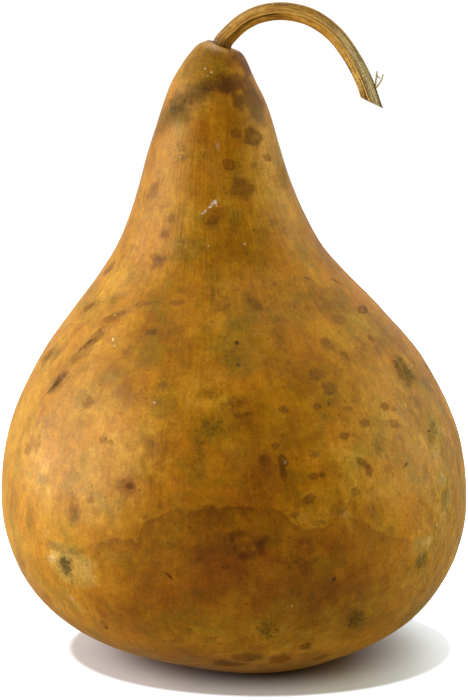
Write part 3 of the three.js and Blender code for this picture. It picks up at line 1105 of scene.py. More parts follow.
@dataclass
class Shell:
    """The hard shell: a turned body whose rings are shifted, lobed and tilted into the grown shape."""

    width: float = 200.0
    height: float = 265.0
    # [share of half the width, share of the height, shift to the right]
    stations: Sequence[Sequence[float]] = (
        (0.2, 0.0, 8.0),
        (0.331, 0.0045, 8.6),
        (0.42, 0.015, 7.2),
        (0.531, 0.034, 5.2),
        (0.69, 0.062, 2.2),
        (0.828, 0.102, 1.1),
        (0.93, 0.155, 0.4),
        (0.982, 0.211, 0.1),
        (1.0, 0.271, 0.0),
        (0.985, 0.345, -0.3),
        (0.923, 0.4235, -1.0),
        (0.812, 0.5025, -1.7),
        (0.658, 0.578, -3.4),
        (0.526, 0.636, -5.2),
        (0.422, 0.6915, -6.8),
        (0.334, 0.77, -8.1),
        (0.269, 0.848, -8.8),
        (0.205, 0.923, -7.6),
        (0.158, 0.9595, -6.8),
        (0.122, 0.983, -6.0),
        (0.1, 0.9945, -5.5),
        (0.08, 1.0, -5.2),
    )
    columns: int = 300
    scar_radius: float = 5.0
    scar_slope: float = 1.5
    scar_depth: float = 1.2
    crown_tilt: float = math.radians(16.5)
    crown_bend_from: float = 0.86
    # [radius, rise from the rim's plane, share of the collar's rise]
    crown: Sequence[Sequence[float]] = (
        (7.6, 0.12, 0.1),
        (6.9, 0.22, 0.3),
        (6.3, 0.0, 0.5),
        (5.6, -0.6, 0.75),
        (4.9, -1.0, 1.0),
        (4.2, -1.0, 1.2),
        (3.6, -0.5, 1.35),
        (2.8, 0.3, 1.4),
    )
    collar_rise: float = 2.3
    lobes: Sequence[Sequence[float]] = (
        (2, 0.006, math.radians(35)),
        (3, 0.005, math.radians(200)),
    )
    swelling: float = 0.22
    swelling_size: float = 46.0
    crease_depth: float = 0.6
    wrinkle_depth: float = 0.12
    wrinkle_size: float = 7.0
    camera: PhotoCamera = field(default_factory=PhotoCamera)

    def tilt_at(self, level: np.ndarray) -> np.ndarray:
        """How far the section is tilted at a level."""
        return self.crown_tilt * smooth_step(level / self.height, self.crown_bend_from, 1.0)

    def side(self) -> np.ndarray:
        """The side's line: radius, level and shift, spaced closely where the shell is narrow."""
        scale = (self.width / 2, self.height, 1.0)
        line = rounded_line(np.array(self.stations) * scale, 60, centripetal=False)
        along = lengths_along(line[:, :2])
        spacing = 0.57 + 0.0128 * line[:, 0]
        count = np.concatenate([[0.0], np.cumsum(np.diff(along) / spacing[1:])])
        at = np.interp(np.linspace(0.0, count[-1], round(count[-1])), count, along)
        return np.column_stack([np.interp(at, along, line[:, axis]) for axis in range(3)])

    def profile(self) -> np.ndarray:
        """Rings from the scar to the crown: radius, level, rise, shift and share of the collar."""
        side = self.side()
        first_shift, last_shift = side[0, 2], side[-1, 2]
        scar = np.array([(0.5, 1.0), (0.75, 1.0), (1.0, 1.0)]) * (self.scar_radius, self.scar_depth)
        slope = [(self.scar_radius + self.scar_slope * t, self.scar_depth * (1 - t) ** 2) for t in (0.3, 0.6, 1.0)]
        spot = [(radius, 0.0) for radius in np.linspace(self.scar_radius + self.scar_slope, side[0, 0], 9)[1:-1]]
        under = np.array([*map(tuple, scar), *slope, *spot])
        crown_line = rounded_line(self.crown, 6, centripetal=False)
        rows = [(radius, 0.0, rise, first_shift, 0.0) for radius, rise in under]
        rows += [(radius, level, 0.0, shift, 0.0) for radius, level, shift in side]
        rows += [(radius, self.height, rise, last_shift, collar) for radius, rise, collar in crown_line]
        return np.array(rows)

    def surface(self) -> tuple[Rings, np.ndarray, np.ndarray]:
        """The shell's rings, with each point's bearing and its distance along the side.

        Returns:
            The rings, and for each of their points the bearing in radians and the distance in
            millimetres.
        """
        profile = self.profile()
        angle = np.arange(self.columns) / self.columns * 2 * math.pi
        radius, level, rise, shift, collar = (profile[:, [i]] for i in range(5))
        lobed = 1 + sum(size * np.cos(count * (angle - turn)) for count, size, turn in self.lobes)
        across = radius * lobed * np.cos(angle)
        leftness = (0.5 - 0.5 * np.cos(angle)) ** 2
        lift = rise + self.collar_rise * collar * leftness
        tilt = self.tilt_at(level)
        places = np.stack(
            [
                shift + across * np.cos(tilt) + lift * np.sin(tilt),
                radius * lobed * np.sin(angle),
                level - across * np.sin(tilt) + lift * np.cos(tilt),
            ],
            axis=-1,
        )
        places = self.swollen(places)
        rings = Rings(places[0].mean(axis=0), places, places[-1].mean(axis=0))
        along = lengths_along(np.column_stack([profile[:, 0], profile[:, 1] + profile[:, 2]]))
        bearings = np.broadcast_to(angle, places.shape[:2])
        lengths = np.broadcast_to(along[:, None], places.shape[:2])
        return rings, bearings, lengths

    def swollen(self, places: np.ndarray) -> np.ndarray:
        """The surface with slow shallow swellings, none of them at the rest spot or the crown."""
        flat = places.reshape(-1, 3)
        amount = self.swelling * smooth_step(flat[:, 2], 4.0, 40.0) * smooth_step(-flat[:, 2], -259.0, -222.0)
        outward = unit(flat * (1.0, 1.0, 0.0))
        moved = flat + outward * (amount * waves(flat, self.swelling_size, seed=4))[:, None]
        return moved.reshape(places.shape)

    def creased(self, points: np.ndarray, faces: Sequence[Sequence[int]]) -> np.ndarray:
        """The surface with the shoulder's creases and the worn skin's wrinkles pressed in.

        Args:
            points: The points of the smooth shell, in millimetres.
            faces: Its faces.

        Returns:
            The points, none of them further out than before.
        """
        skin = SkinMap(points, faces, self.camera)
        grooves = {MarkKind.SHADED_GROOVE: SEEN_MARKS[MarkKind.SHADED_GROOVE]}
        pressed = points.copy()
        for mark, spot in self._seen(skin, Mark, grooves):
            local = spot.turned(mark.turn).local(points, mark.size)
            depth = self.crease_depth * mark.strength * np.exp(-2.0 * (local**2).sum(axis=1))
            pressed -= depth[:, None] * spot.outward
        wrinkles = np.clip(1.0 + waves(points * (1.0, 1.0, 0.5), self.wrinkle_size, seed=23), 0.0, 2.0)
        depth = self.wrinkle_depth * wrinkles * self._worn(points, np.arctan2(points[:, 1], points[:, 0]))
        return pressed - depth[:, None] * unit(points * (1.0, 1.0, 0.0))

    def build(self, box: tuple[Vector, Vector]) -> tuple[bpy.types.Object, Vector]:
        """Make the shell, fitted to its solid's box.

        Args:
            box: The lowest and highest corner of the solid, in metres.

        Returns:
            The shell, and how far the grown shape was shifted to stand in the frame, in millimetres.
        """
        rings, bearings, lengths = self.surface()
        raw = rings.points()
        low, high = (np.array(corner) / MM for corner in box)
        scale = (high - low) / (raw.max(axis=0) - raw.min(axis=0))
        points = low + (raw - raw.min(axis=0)) * scale
        shift = Vector((low - raw.min(axis=0) * scale).tolist())
        points = self.creased(points, rings.faces())
        made = make_object("shell", points, rings.faces())
        self._store_grain(made.data, rings, bearings, lengths)
        self._store_marks(made.data, points, rings)
        return made, shift

    def _store_grain(self, mesh: bpy.types.Mesh, rings: Rings, bearings: np.ndarray, lengths: np.ndarray) -> None:
        """Keep the direction of growth: round the shell and along its side, in millimetres."""
        mean_radius = self.width / 4
        grain = np.stack([mean_radius * np.cos(bearings), mean_radius * np.sin(bearings), lengths], axis=-1)
        store(mesh, "grain", rings.spread(grain))

    def _store_marks(self, mesh: bpy.types.Mesh, points: np.ndarray, rings: Rings) -> None:
        """Write the marks, the stains, the tide line and the crown's hollow onto the mesh."""
        faces = rings.faces()
        skin = SkinMap(points, faces, self.camera)
        hidden = HiddenSide(skin)
        marks = self._seen(skin, Mark, SEEN_MARKS) + hidden.marks()
        for number, layer in enumerate(skin.layered(marks)):
            skin.write_layer(mesh, number, layer)
            LOG.info("mark layer %d holds %d marks", number, len(layer))
        stains = self._seen(skin, Stain, SEEN_STAINS) + hidden.stains()
        store(mesh, "stains", skin.stain_field(stains))
        store(mesh, "zones", self._zones(mesh, points, skin))

    @staticmethod
    def _seen(skin: SkinMap, blemish: type, table: dict[Enum, Sequence[Sequence[float]]]) -> list[tuple[Any, Spot]]:
        """The marks or stains of a table, each with the place where the photograph shows it.

        Args:
            skin: Finds the places.
            blemish: Mark or Stain.
            table: The rows of each kind.

        Returns:
            Each blemish with its place.
        """
        placed = []
        for kind, rows in table.items():
            for x, y, wide, high, turn, strength in rows:
                spot = skin.seen((x, y))
                placed.append((blemish(kind, skin.true_size(spot, turn, (wide, high)), turn, strength), spot))
        return placed

    def _zones(self, mesh: bpy.types.Mesh, points: np.ndarray, skin: SkinMap) -> np.ndarray:
        """Depth below the tide line, nearness to the crown's hollow, to its rim, and to the neck."""
        bearings = np.arctan2(points[:, 1], points[:, 0])
        line = [skin.seen(pixel).middle for pixel, _ in TIDE_LINE]
        line_bearings = np.array([math.atan2(place[1], place[0]) for place in line])
        line_heights = np.array([place[2] for place in line])
        order = np.argsort(line_bearings)
        height = np.interp(bearings, line_bearings[order], line_heights[order], period=2 * math.pi)
        hidden = smooth_step(np.sin(bearings), 0.1, 0.35)
        height = height + hidden * 7.0 * waves(points * (1, 1, 0), 60.0, seed=12)
        tide = height - points[:, 2]
        clear = np.array([strength for _, strength in TIDE_LINE])[order]
        damp = np.interp(bearings, line_bearings[order], clear, period=2 * math.pi) + hidden * 0.6
        store(mesh, "damp", damp)
        store(mesh, "wear_and_painted_light", self._worn(points, bearings))
        crown = np.array([self.stations[-1][2], 0.0, self.height])
        axis = np.array([math.sin(self.crown_tilt), 0.0, math.cos(self.crown_tilt)])
        away = points - crown
        radius = np.linalg.norm(away - np.outer(away @ axis, axis), axis=1)
        level = np.abs(away @ axis) < 6.0
        # painted shade: the inside of the crown's hollow, for its near-black
        hollow = level * (1 - smooth_step(radius, 5.0, 6.6))
        # painted highlight: the rim is lit along its lower, front-right side
        highlight_side = smooth_step(np.cos(np.arctan2(away[:, 1], away[:, 0]) + math.radians(50)), 0.3, 0.8)
        rim = level * highlight_side * np.exp(-(((radius - 6.9) / 0.5) ** 2))
        neck = smooth_step(points[:, 2], 120.0, 200.0)
        return np.column_stack([tide, hollow, rim, neck])

    @staticmethod
    def _worn(points: np.ndarray, bearings: np.ndarray) -> np.ndarray:
        """Where the skin is wrinkled: a band down the right side, and the left foot."""
        height = points[:, 2]
        ragged = 0.35 * waves(points, 17.0, seed=21) + 0.25 * waves(points, 7.0, seed=22)
        right = smooth_step(np.cos(bearings + math.radians(12)), 0.80, 0.94)
        right *= smooth_step(height, 14.0, 34.0) * smooth_step(-height, -160.0, -110.0)
        left = smooth_step(-np.cos(bearings - math.radians(15)), 0.82, 0.93)
        left *= 0.4 * smooth_step(height, 3.0, 12.0) * smooth_step(-height, -64.0, -44.0)
        patchy = np.clip(0.95 + ragged, 0.0, 1.2)
        return np.clip(np.maximum(right, left) * patchy, 0.0, 1.0)


@dataclass
class HiddenSide:
    """Seeded marks and stains for the side of the shell that the photograph doesn't show."""

    skin: SkinMap
    seed: int = 31
    mark_count: int = 96
    stain_count: int = 46
    lowest: float = 14.0
    highest: float = 245.0

    def places(self, source: np.random.Generator, count: int) -> Iterable[Spot]:
        """Places spread over the back and the sides, from low on the belly to the neck."""
        for _ in range(count):
            bearing = source.uniform(-0.06, 1.06) * math.pi
            height = self.lowest + (self.highest - self.lowest) * source.beta(1.2, 1.7)
            yield self.skin.bearing_spot(bearing, height)

    def marks(self) -> list[tuple[Mark, Spot]]:
        """Small marks of the kinds that the front has, mostly spots."""
        source = np.random.default_rng(self.seed)
        kinds = (MarkKind.SPOT, MarkKind.STAIN, MarkKind.MOULD, MarkKind.PINHOLE, MarkKind.PIMPLE_AND_GLINT, MarkKind.HOLLOW_SPOT)
        shares = (0.52, 0.14, 0.12, 0.07, 0.1, 0.05)
        sizes = {MarkKind.MOULD: 8.0, MarkKind.STAIN: 7.0, MarkKind.PINHOLE: 1.6, MarkKind.PIMPLE_AND_GLINT: 2.0}
        placed = []
        for spot in self.places(source, self.mark_count):
            kind = kinds[source.choice(len(kinds), p=shares)]
            width = sizes.get(kind, 4.0) * source.uniform(0.7, 1.4)
            size = (width, width * source.uniform(0.65, 1.15))
            mark = Mark(kind, size, source.uniform(-40, 40), source.uniform(0.6, 1.1))
            placed.append((mark, spot))
        return placed

    def stains(self) -> list[tuple[Stain, Spot]]:
        """Broad stains of every kind."""
        source = np.random.default_rng(self.seed + 1)
        kinds = list(StainKind)
        placed = []
        for spot in self.places(source, self.stain_count):
            kind = kinds[source.choice(len(kinds), p=(0.34, 0.3, 0.2, 0.16))]
            size = (source.uniform(10, 30), source.uniform(8, 22))
            stain = Stain(kind, size, source.uniform(-40, 40), source.uniform(0.5, 1.1))
            placed.append((stain, spot))
        return placed


@dataclass(frozen=True)
class ShellFinish:
    """Hard dried rind: satin, ochre and tan, with olive, red-brown and mould-dark weathering, and with painted light:
    highlights in the lighter stains, the pimples' cores, the beads and the crown's rim, shade in some dark stains, the
    grooves, the wrinkles and the crown's hollow.
    """

    brown: Colour = (0.270, 0.104, 0.0016)
    ochre: Colour = (0.400, 0.172, 0.0026)
    tan: Colour = (0.510, 0.248, 0.012)
    orange: Colour = (0.460, 0.180, 0.003)
    olive: Colour = (0.250, 0.140, 0.003)
    gloss: Colour = (1.0, 0.80, 0.46)
    # partly darker rind, partly painted shade
    grey_stain_and_shade: Colour = (0.50, 0.44, 0.36)
    green_stain: Colour = (0.76, 0.86, 1.0)
    red_stain: Colour = (0.76, 0.60, 0.55)
    # partly paler rind, partly a painted highlight: it lightens the rind and makes it much less saturated
    pale_stain_and_highlight: Colour = (1.21, 1.32, 2.8)
    damp: Colour = (0.53, 0.38, 0.20)
    speck: Colour = (0.45, 0.34, 0.25)
    edge: Colour = (0.62, 0.54, 0.48)
    shadowed: Colour = (0.70, 0.66, 0.62)
    # painted shade: the near-black of the crown's hollow round the stem's foot
    foot: Colour = (0.060, 0.030, 0.006)
    # partly golden beads, partly a painted glint on them
    bead_gold_and_glint: Colour = (0.60, 0.40, 0.13)
    # partly grey skin, partly painted shade in the wrinkles' valleys
    wrinkle_grey_and_shade: Colour = (0.38, 0.38, 0.42)
    sheen: float = 0.02
    roughness: float = 0.42
    mark_layers: int = MARK_LAYERS

    def dress(self, shell: bpy.types.Object, effects: SharedEffects) -> None:
        """Give the shell its material.

        Args:
            shell: The shell.
            effects: The shared node groups.
        """
        material = bpy.data.materials.new("dried_rind")
        material.use_nodes = True
        graph = Graph(material.node_tree)
        principled = material.node_tree.nodes["Principled BSDF"]
        place = graph.scaled(graph.node("TexCoord").outputs["Object"], 1.0 / MM)
        grain = graph.attribute("grain").outputs["Vector"]
        zones = graph.attribute("zones")
        colour = self._ground(graph, effects, place)
        fibres = graph.group(effects.fibres, {"Grain": grain, "Width": 1.3, "Stretch": 0.06})
        colour = self._neck_fibres(graph, colour, fibres.outputs["Streak"], zones.outputs["Alpha"])
        colour = self._grained(graph, colour, place)
        colour = self._damp_foot(graph, colour, place, zones)
        colour = self._stained(graph, colour, place)
        colour, wrinkles = self._wrinkled(graph, effects, colour, grain, place)
        colour, relief, cover = self._marked(graph, effects, colour, place)
        specks = graph.group(effects.speckle, {"Place": place, "Spacing": 2.8, "Share": 0.3}).outputs["Mask"]
        specked = graph.mix(1.0, colour, self.speck, "MULTIPLY")
        colour = graph.mix(graph.math("MULTIPLY", specks, 0.5), colour, specked)
        colour = self._crown(graph, colour, zones)
        graph.feed(principled.inputs["Base Color"], colour)
        graph.feed(principled.inputs["Roughness"], self._roughness(graph, place, cover))
        relief = graph.sum(relief, wrinkles)
        graph.feed(principled.inputs["Normal"], self._normal(graph, place, relief, specks, fibres.outputs["Streak"]))
        principled.inputs["IOR"].default_value = 1.45
        principled.inputs["Specular IOR Level"].default_value = 0.4
        principled.inputs["Specular Tint"].default_value = (*self.gloss, 1.0)
        principled.inputs["Sheen Weight"].default_value = self.sheen
        principled.inputs["Sheen Roughness"].default_value = 0.35
        principled.inputs["Sheen Tint"].default_value = (1.0, 0.93, 0.86, 1.0)
        shell.data.materials.append(material)

    def _ground(self, graph: Graph, effects: SharedEffects, place: Socket) -> Socket:
        """The rind's own colour: ochre with brown, tan and orange clouds."""
        patches = graph.group(effects.mottle, {"Place": place, "Size": 42.0}).outputs["Value"]
        colour = graph.ramp(patches, [(0.0, self.brown), (0.5, self.ochre), (1.0, self.tan)])
        warm = graph.rise(graph.noise(graph.vector("ADD", place, (91.0, 17.0, 45.0)), 17.0, 4.0, 0.55), 0.46, 0.66, 0.68)
        colour = graph.mix(warm, colour, self.orange)
        cool = graph.rise(graph.noise(graph.vector("ADD", place, (13.0, 57.0, 5.0)), 13.0, 4.0, 0.62), 0.5, 0.68, 0.62)
        return graph.mix(cool, colour, self.olive)

    def _neck_fibres(self, graph: Graph, colour: Socket, streak: Socket, neck: Socket) -> Socket:
        """Fine upright streaks, clearest on the neck."""
        amount = graph.sum(graph.math("MULTIPLY", neck, 0.45), 0.45)
        darker = graph.mix(1.0, colour, self.shadowed, "MULTIPLY")
        factor = graph.math("MULTIPLY", graph.math("SUBTRACT", 1.0, streak), amount)
        return graph.mix(factor, colour, darker)

    def _grained(self, graph: Graph, colour: Socket, place: Socket) -> Socket:
        """The rind's close grain: small darker and lighter flecks."""
        fleck = graph.rise(graph.noise(place, 1.1, 3.0, 0.7), 0.36, 0.64)
        flake = graph.rise(graph.noise(graph.vector("ADD", place, (7.0, 31.0, 3.0)), 3.8, 4.0, 0.65), 0.42, 0.62)
        darker = graph.mix(1.0, colour, self.shadowed, "MULTIPLY")
        colour = graph.mix(graph.math("MULTIPLY", graph.math("SUBTRACT", 1.0, fleck), 0.7), colour, darker)
        lighter = graph.mix(1.0, colour, (1.18, 1.19, 1.35), "MULTIPLY")
        return graph.mix(flake, colour, lighter)

    def _damp_foot(self, graph: Graph, colour: Socket, place: Socket, zones: bpy.types.Node) -> Socket:
        """The darker, redder foot below the tide line, with a dark edge, dying out downward."""
        tide = graph.parts(zones.outputs["Color"])[0]
        unrest = graph.math("MULTIPLY", graph.sum(graph.noise(place, 9.0, 4.0, 0.55), -0.5), 11.0)
        depth = graph.sum(tide, unrest)
        below = graph.rise(depth, -0.6, 0.9)
        deep = graph.sum(0.66, graph.rise(depth, 6.0, 26.0, 0.34))
        fading = graph.math("MULTIPLY", deep, graph.math("SUBTRACT", 1.0, graph.rise(depth, 34.0, 56.0)))
        cloud = graph.rise(graph.noise(place, 16.0, 4.0, 0.6), 0.3, 0.62)
        patchy = graph.sum(0.4, graph.math("MULTIPLY", cloud, 0.55))
        strength = graph.attribute("damp").outputs["Fac"]
        factor = graph.math("MULTIPLY", graph.math("MULTIPLY", below, fading), graph.math("MULTIPLY", patchy, strength))
        colour = graph.mix(factor, colour, graph.mix(1.0, colour, self.damp, "MULTIPLY"))
        edge = graph.math("MULTIPLY", below, graph.math("SUBTRACT", 1.0, graph.rise(depth, 0.5, 3.6)))
        edge = graph.math("MULTIPLY", edge, graph.math("MULTIPLY", strength, 0.45))
        return graph.mix(edge, colour, graph.mix(1.0, colour, self.edge, "MULTIPLY"))

    def _wrinkled(
        self, graph: Graph, effects: SharedEffects, colour: Socket, grain: Socket, place: Socket
    ) -> tuple[Socket, Socket]:
        """The wrinkled, beaded skin along the shell's right side and its left foot, with painted shade in the wrinkles'
        valleys and a painted glint on the beads.

        Args:
            graph: The material's nodes.
            effects: The shared node groups.
            colour: The colour below.
            grain: The direction of growth, in millimetres.
            place: The place on the shell, in millimetres.

        Returns:
            The colour, and the relief in millimetres.
        """
        wear_and_painted_light = graph.attribute("wear_and_painted_light").outputs["Fac"]
        streak = graph.group(effects.fibres, {"Grain": grain, "Width": 3.2, "Stretch": 0.4}).outputs["Streak"]
        # painted shade: the wrinkles' valleys are darkened as well as sunk
        valley = graph.math("MULTIPLY", graph.math("SUBTRACT", 1.0, streak), wear_and_painted_light)
        creased = graph.mix(1.0, colour, self.wrinkle_grey_and_shade, "MULTIPLY")
        colour = graph.mix(graph.math("MULTIPLY", valley, 0.7), colour, creased)
        # painted glint: the raised beads are lightened gold
        beads = graph.group(effects.speckle, {"Place": place, "Spacing": 4.4, "Share": 0.2}).outputs["Mask"]
        beads = graph.math("MULTIPLY", beads, graph.rise(wear_and_painted_light, 0.35, 0.8))
        colour = graph.mix(graph.math("MULTIPLY", beads, 0.45), colour, self.bead_gold_and_glint)
        raised = graph.sum(graph.math("MULTIPLY", valley, -0.4), graph.math("MULTIPLY", beads, 0.4))
        return colour, raised

    def _stained(self, graph: Graph, colour: Socket, place: Socket) -> Socket:
        """The broad stains, each broken up by cloudy noise; the lighter ones are partly a painted highlight and the
        dark ones partly painted shade.
        """
        stains = graph.attribute("stains")
        dark, green, red = graph.parts(stains.outputs["Color"])
        pale_and_highlight = stains.outputs["Alpha"]
        cloud = graph.math("MULTIPLY", graph.sum(graph.noise(place, 7.0, 5.0, 0.66), -0.5), 2.2)
        plan = (
            # the lighter stains are partly a painted highlight
            (pale_and_highlight, self.pale_stain_and_highlight, 0.2, 1.0),
            (red, self.red_stain, 0.2, 1.0),
            (green, self.green_stain, 0.2, 0.9),
            # the dark stains are partly painted shade
            (dark, self.grey_stain_and_shade, 0.2, 0.75),
        )
        for amount, tint, low, high in plan:
            ragged = graph.sum(amount, graph.math("MULTIPLY", cloud, graph.rise(amount, 0.05, 0.45)))
            soaked = graph.mix(1.0, colour, tint, "MULTIPLY")
            colour = graph.mix(graph.rise(ragged, low, high), colour, soaked)
        return colour

    def _marked(
        self, graph: Graph, effects: SharedEffects, colour: Socket, place: Socket
    ) -> tuple[Socket, Socket, Socket]:
        """Lay every layer of marks over the colour.

        Args:
            graph: The material's nodes.
            effects: The shared node groups.
            colour: The colour below the marks.
            place: The place on the shell, in millimetres.

        Returns:
            The colour, the marks' relief in millimetres, and how far they cover the shell.
        """
        unrest = graph.noise(place, 1.6, 3.0, 0.65)
        relief: SocketValue = 0.0
        cover: SocketValue = 0.0
        for number in range(self.mark_layers):
            tone = graph.attribute(f"tone_{number}")
            tint = graph.attribute(f"tint_{number}")
            opacity, grain, _ = graph.parts(graph.attribute(f"surface_{number}").outputs["Vector"])
            layer = graph.group(
                effects.mark,
                {
                    "Under": colour,
                    "Local": graph.attribute(f"mark_{number}").outputs["Vector"],
                    "Tone": tone.outputs["Vector"],
                    "Softness": tone.outputs["Alpha"],
                    "Tint": tint.outputs["Color"],
                    "Edge": self.edge,
                    "Opacity": opacity,
                    "Grain": grain,
                    "Relief": tint.outputs["Alpha"],
                    "Unrest": unrest,
                },
            )
            colour = layer.outputs["Colour"]
            relief = graph.sum(relief, layer.outputs["Height"])
            cover = graph.sum(cover, layer.outputs["Cover"])
        return colour, relief, cover

    def _crown(self, graph: Graph, colour: Socket, zones: bpy.types.Node) -> Socket:
        """The crown's hollow round the stem's foot, painted near-black as shade, inside a rim that is lightened on its
        lower side as a painted highlight.
        """
        _, hollow, rim = graph.parts(zones.outputs["Color"])
        # painted highlight along the rim's lower side
        wear_and_painted_light = graph.mix(1.0, colour, self.pale_stain_and_highlight, "MULTIPLY")
        colour = graph.mix(graph.math("MULTIPLY", rim, 0.9), colour, wear_and_painted_light)
        # painted shade inside the crown's hollow
        return graph.mix(graph.math("MULTIPLY", hollow, 0.9), colour, self.foot)

    def _roughness(self, graph: Graph, place: Socket, cover: Socket) -> Socket:
        """Satin, duller where the rind is marked."""
        cloud = graph.math("MULTIPLY", graph.sum(graph.noise(place, 9.0, 4.0, 0.6), -0.5), 0.3)
        return graph.sum(self.roughness, cloud, graph.math("MULTIPLY", cover, 0.2))

    def _normal(self, graph: Graph, place: Socket, relief: Socket, specks: Socket, streak: Socket) -> Socket:
        """Relief from the marks, pores, fibres and the rind's fine unevenness, in millimetres."""
        pores = graph.math("MULTIPLY", graph.noise(place, 1.1, 2.0, 0.5), 0.035)
        dents = graph.math("MULTIPLY", graph.noise(place, 8.0, 3.0, 0.5), 0.34)
        sunk = graph.math("MULTIPLY", specks, -0.05)
        ribs = graph.math("MULTIPLY", streak, 0.03)
        height = graph.sum(relief, pores, dents, sunk, ribs)
        bump = graph.node("Bump", {"Strength": 1.0, "Distance": MM, "Height": height})
        return bump.outputs["Normal"]


# --------------------------------------------------------------------------- stem


@dataclass
class Stem:
    """The dry stem: five sharp ribs, fine fibres, fissures, a slanted cut and two loose fibres."""

    crown: tuple[float, float, float] = (-5.2, 0.0, 265.0)
    crown_tilt: float = math.radians(16.5)
    root_depth: float = 3.6
    root_radius: float = 4.1
    # from the middle of the crown
    route: Sequence[Sequence[float]] = (
        (0.25, 0.0, 0.9),
        (3.6, -0.1, 4.9),
        (8.3, -0.4, 9.0),
        (14.8, -0.8, 12.3),
        (24.8, -1.4, 13.8),
        (36.4, -2.1, 11.4),
        (46.3, -2.7, 4.7),
        (53.5, -3.2, -4.5),
        (58.9, -3.6, -14.4),
        (62.6, -4.0, -24.3),
    )
    radii: Sequence[float] = (3.35, 3.25, 3.3, 3.3, 3.2, 3.2, 3.3)
    ribs: int = 5
    rib_height: float = 0.2
    rib_twist: float = math.radians(-18)
    foot_length: float = 0.1
    cut_slant: float = math.tan(math.radians(46))
    cut_zone: float = 0.12
    sides: int = 150
    steps: int = 380
    groove_depth: float = 0.16
    strand_radius: float = 0.42
    strand_tip_radius: float = 0.3
    strands: Sequence[Sequence[Sequence[float]]] = (
        ((61.6, -3.8, -19.6), (63.3, -3.9, -17.9), (63.8, -4.0, -14.9), (64.2, -4.1, -10.9)),
        ((63.9, -4.0, -12.6), (64.6, -4.1, -13.2), (65.5, -4.2, -13.9)),
        ((61.8, -3.4, -20.4), (64.2, -3.3, -17.6), (66.3, -3.2, -14.4), (66.8, -3.2, -12.2)),
    )

    def from_crown(self, points: Sequence[Sequence[float]]) -> np.ndarray:
        """Points that are given from the middle of the crown."""
        return np.array(points) + self.crown

    def middle_line(self) -> np.ndarray:
        """The stem's middle line, from its root to its cut."""
        square = np.array([math.sin(self.crown_tilt), 0.0, math.cos(self.crown_tilt)])
        root = np.array(self.crown) - self.root_depth * square
        return rounded_line([root, *self.from_crown(self.route)], 80, centripetal=True)

    @staticmethod
    def directions(line: np.ndarray, at: np.ndarray) -> tuple[np.ndarray, np.ndarray, np.ndarray]:
        """Along, outer and rear directions of a line at the given lengths along it."""
        step = 0.05
        total = lengths_along(line)[-1]
        ahead = sample_line(line, np.minimum(at + step, total))
        behind = sample_line(line, np.maximum(at - step, 0.0))
        tangent = unit(ahead - behind)
        outer = unit(np.cross(tangent, [0.0, 1.0, 0.0]))
        return tangent, outer, np.cross(outer, tangent)

    def radius_at(self, along: np.ndarray, angle: np.ndarray) -> np.ndarray:
        """The stem's radius: ribs, the flare of the root, and fine grooves between the fibres."""
        plain = np.interp(along, np.linspace(0, 1, len(self.radii)), self.radii)
        rib = 1 - np.abs(np.sin(self.ribs / 2 * (angle + math.pi / 2)))
        ribbed = plain * (1 + self.rib_height * rib)
        blend = smooth_step(along, 0.0, self.foot_length)
        return self.root_radius + (ribbed - self.root_radius) * blend

    def groove_at(self, along: np.ndarray, angle: np.ndarray, length: float) -> np.ndarray:
        """How deep the lengthwise grooves are, from 0 to 1, deepest near the cut."""
        round_it = np.stack([3.4 * np.cos(angle), 3.4 * np.sin(angle), along * length * 0.045], axis=-1)
        fine = waves(round_it.reshape(-1, 3), 0.75, seed=7, count=30).reshape(angle.shape)
        coarse = waves(round_it.reshape(-1, 3), 1.9, seed=8, count=30).reshape(angle.shape)
        cracked = smooth_step(coarse, 0.55, 1.15) * (0.35 + 0.65 * smooth_step(along, 0.55, 0.95))
        return np.clip(0.3 * smooth_step(fine, 0.0, 1.2) + cracked, 0.0, 1.0)

    def stalk(self) -> tuple[Rings, np.ndarray, np.ndarray, np.ndarray]:
        """The stalk's rings, its grain, its grooves and its form.

        Returns:
            The rings, the grain in millimetres, the groove's depth from 0 to 1, and for each point
            how near a rib's ridge it is and how far it faces outward from the arch.
        """
        line = self.middle_line()
        length = lengths_along(line)[-1]
        along = np.linspace(0.0, 1.0, self.steps + 1)
        tangent, outer, rear = self.directions(line, along * length)
        centre = sample_line(line, along * length)
        angle = -np.arange(self.sides) / self.sides * 2 * math.pi
        share, turn = np.meshgrid(along, angle, indexing="ij")
        groove = self.groove_at(share, turn, length)
        radius = self.radius_at(share, turn) - self.groove_depth * groove
        turned = turn + self.rib_twist * share
        slant = self.cut_slant * smooth_step(share, 1 - self.cut_zone, 1.0)
        outward = radius * np.cos(turned)
        places = (
            centre[:, None]
            + outer[:, None] * outward[..., None]
            + rear[:, None] * (radius * np.sin(turned))[..., None]
            + tangent[:, None] * (slant * outward)[..., None]
        )
        places, groove, share, turn = self.with_cut_face(places, groove, share, turn, centre[-1])
        grain = np.stack([3.4 * np.cos(turn), 3.4 * np.sin(turn), share * length], axis=-1)
        rib = 1 - np.abs(np.sin(self.ribs / 2 * (turn + math.pi / 2)))
        form = np.stack([rib, np.cos(turn + self.rib_twist * share), 0 * rib], axis=-1)
        return Rings(centre[0], places, places[-1].mean(axis=0)), grain, groove, form

    @staticmethod
    def with_cut_face(
        places: np.ndarray, groove: np.ndarray, share: np.ndarray, turn: np.ndarray, middle: np.ndarray
    ) -> tuple[np.ndarray, np.ndarray, np.ndarray, np.ndarray]:
        """Close the stalk's end with rings that shrink toward its middle, for a frayed cut face."""
        shrinks = np.array([0.97, 0.85, 0.7, 0.55, 0.4, 0.26, 0.12])
        rings = middle + (places[-1] - middle) * shrinks[:, None, None]
        count = len(shrinks)
        return (
            np.concatenate([places, rings]),
            np.concatenate([groove, np.repeat(groove[-1:], count, axis=0)]),
            np.concatenate([share, np.repeat(share[-1:], count, axis=0)]),
            np.concatenate([turn, np.repeat(turn[-1:], count, axis=0)]),
        )

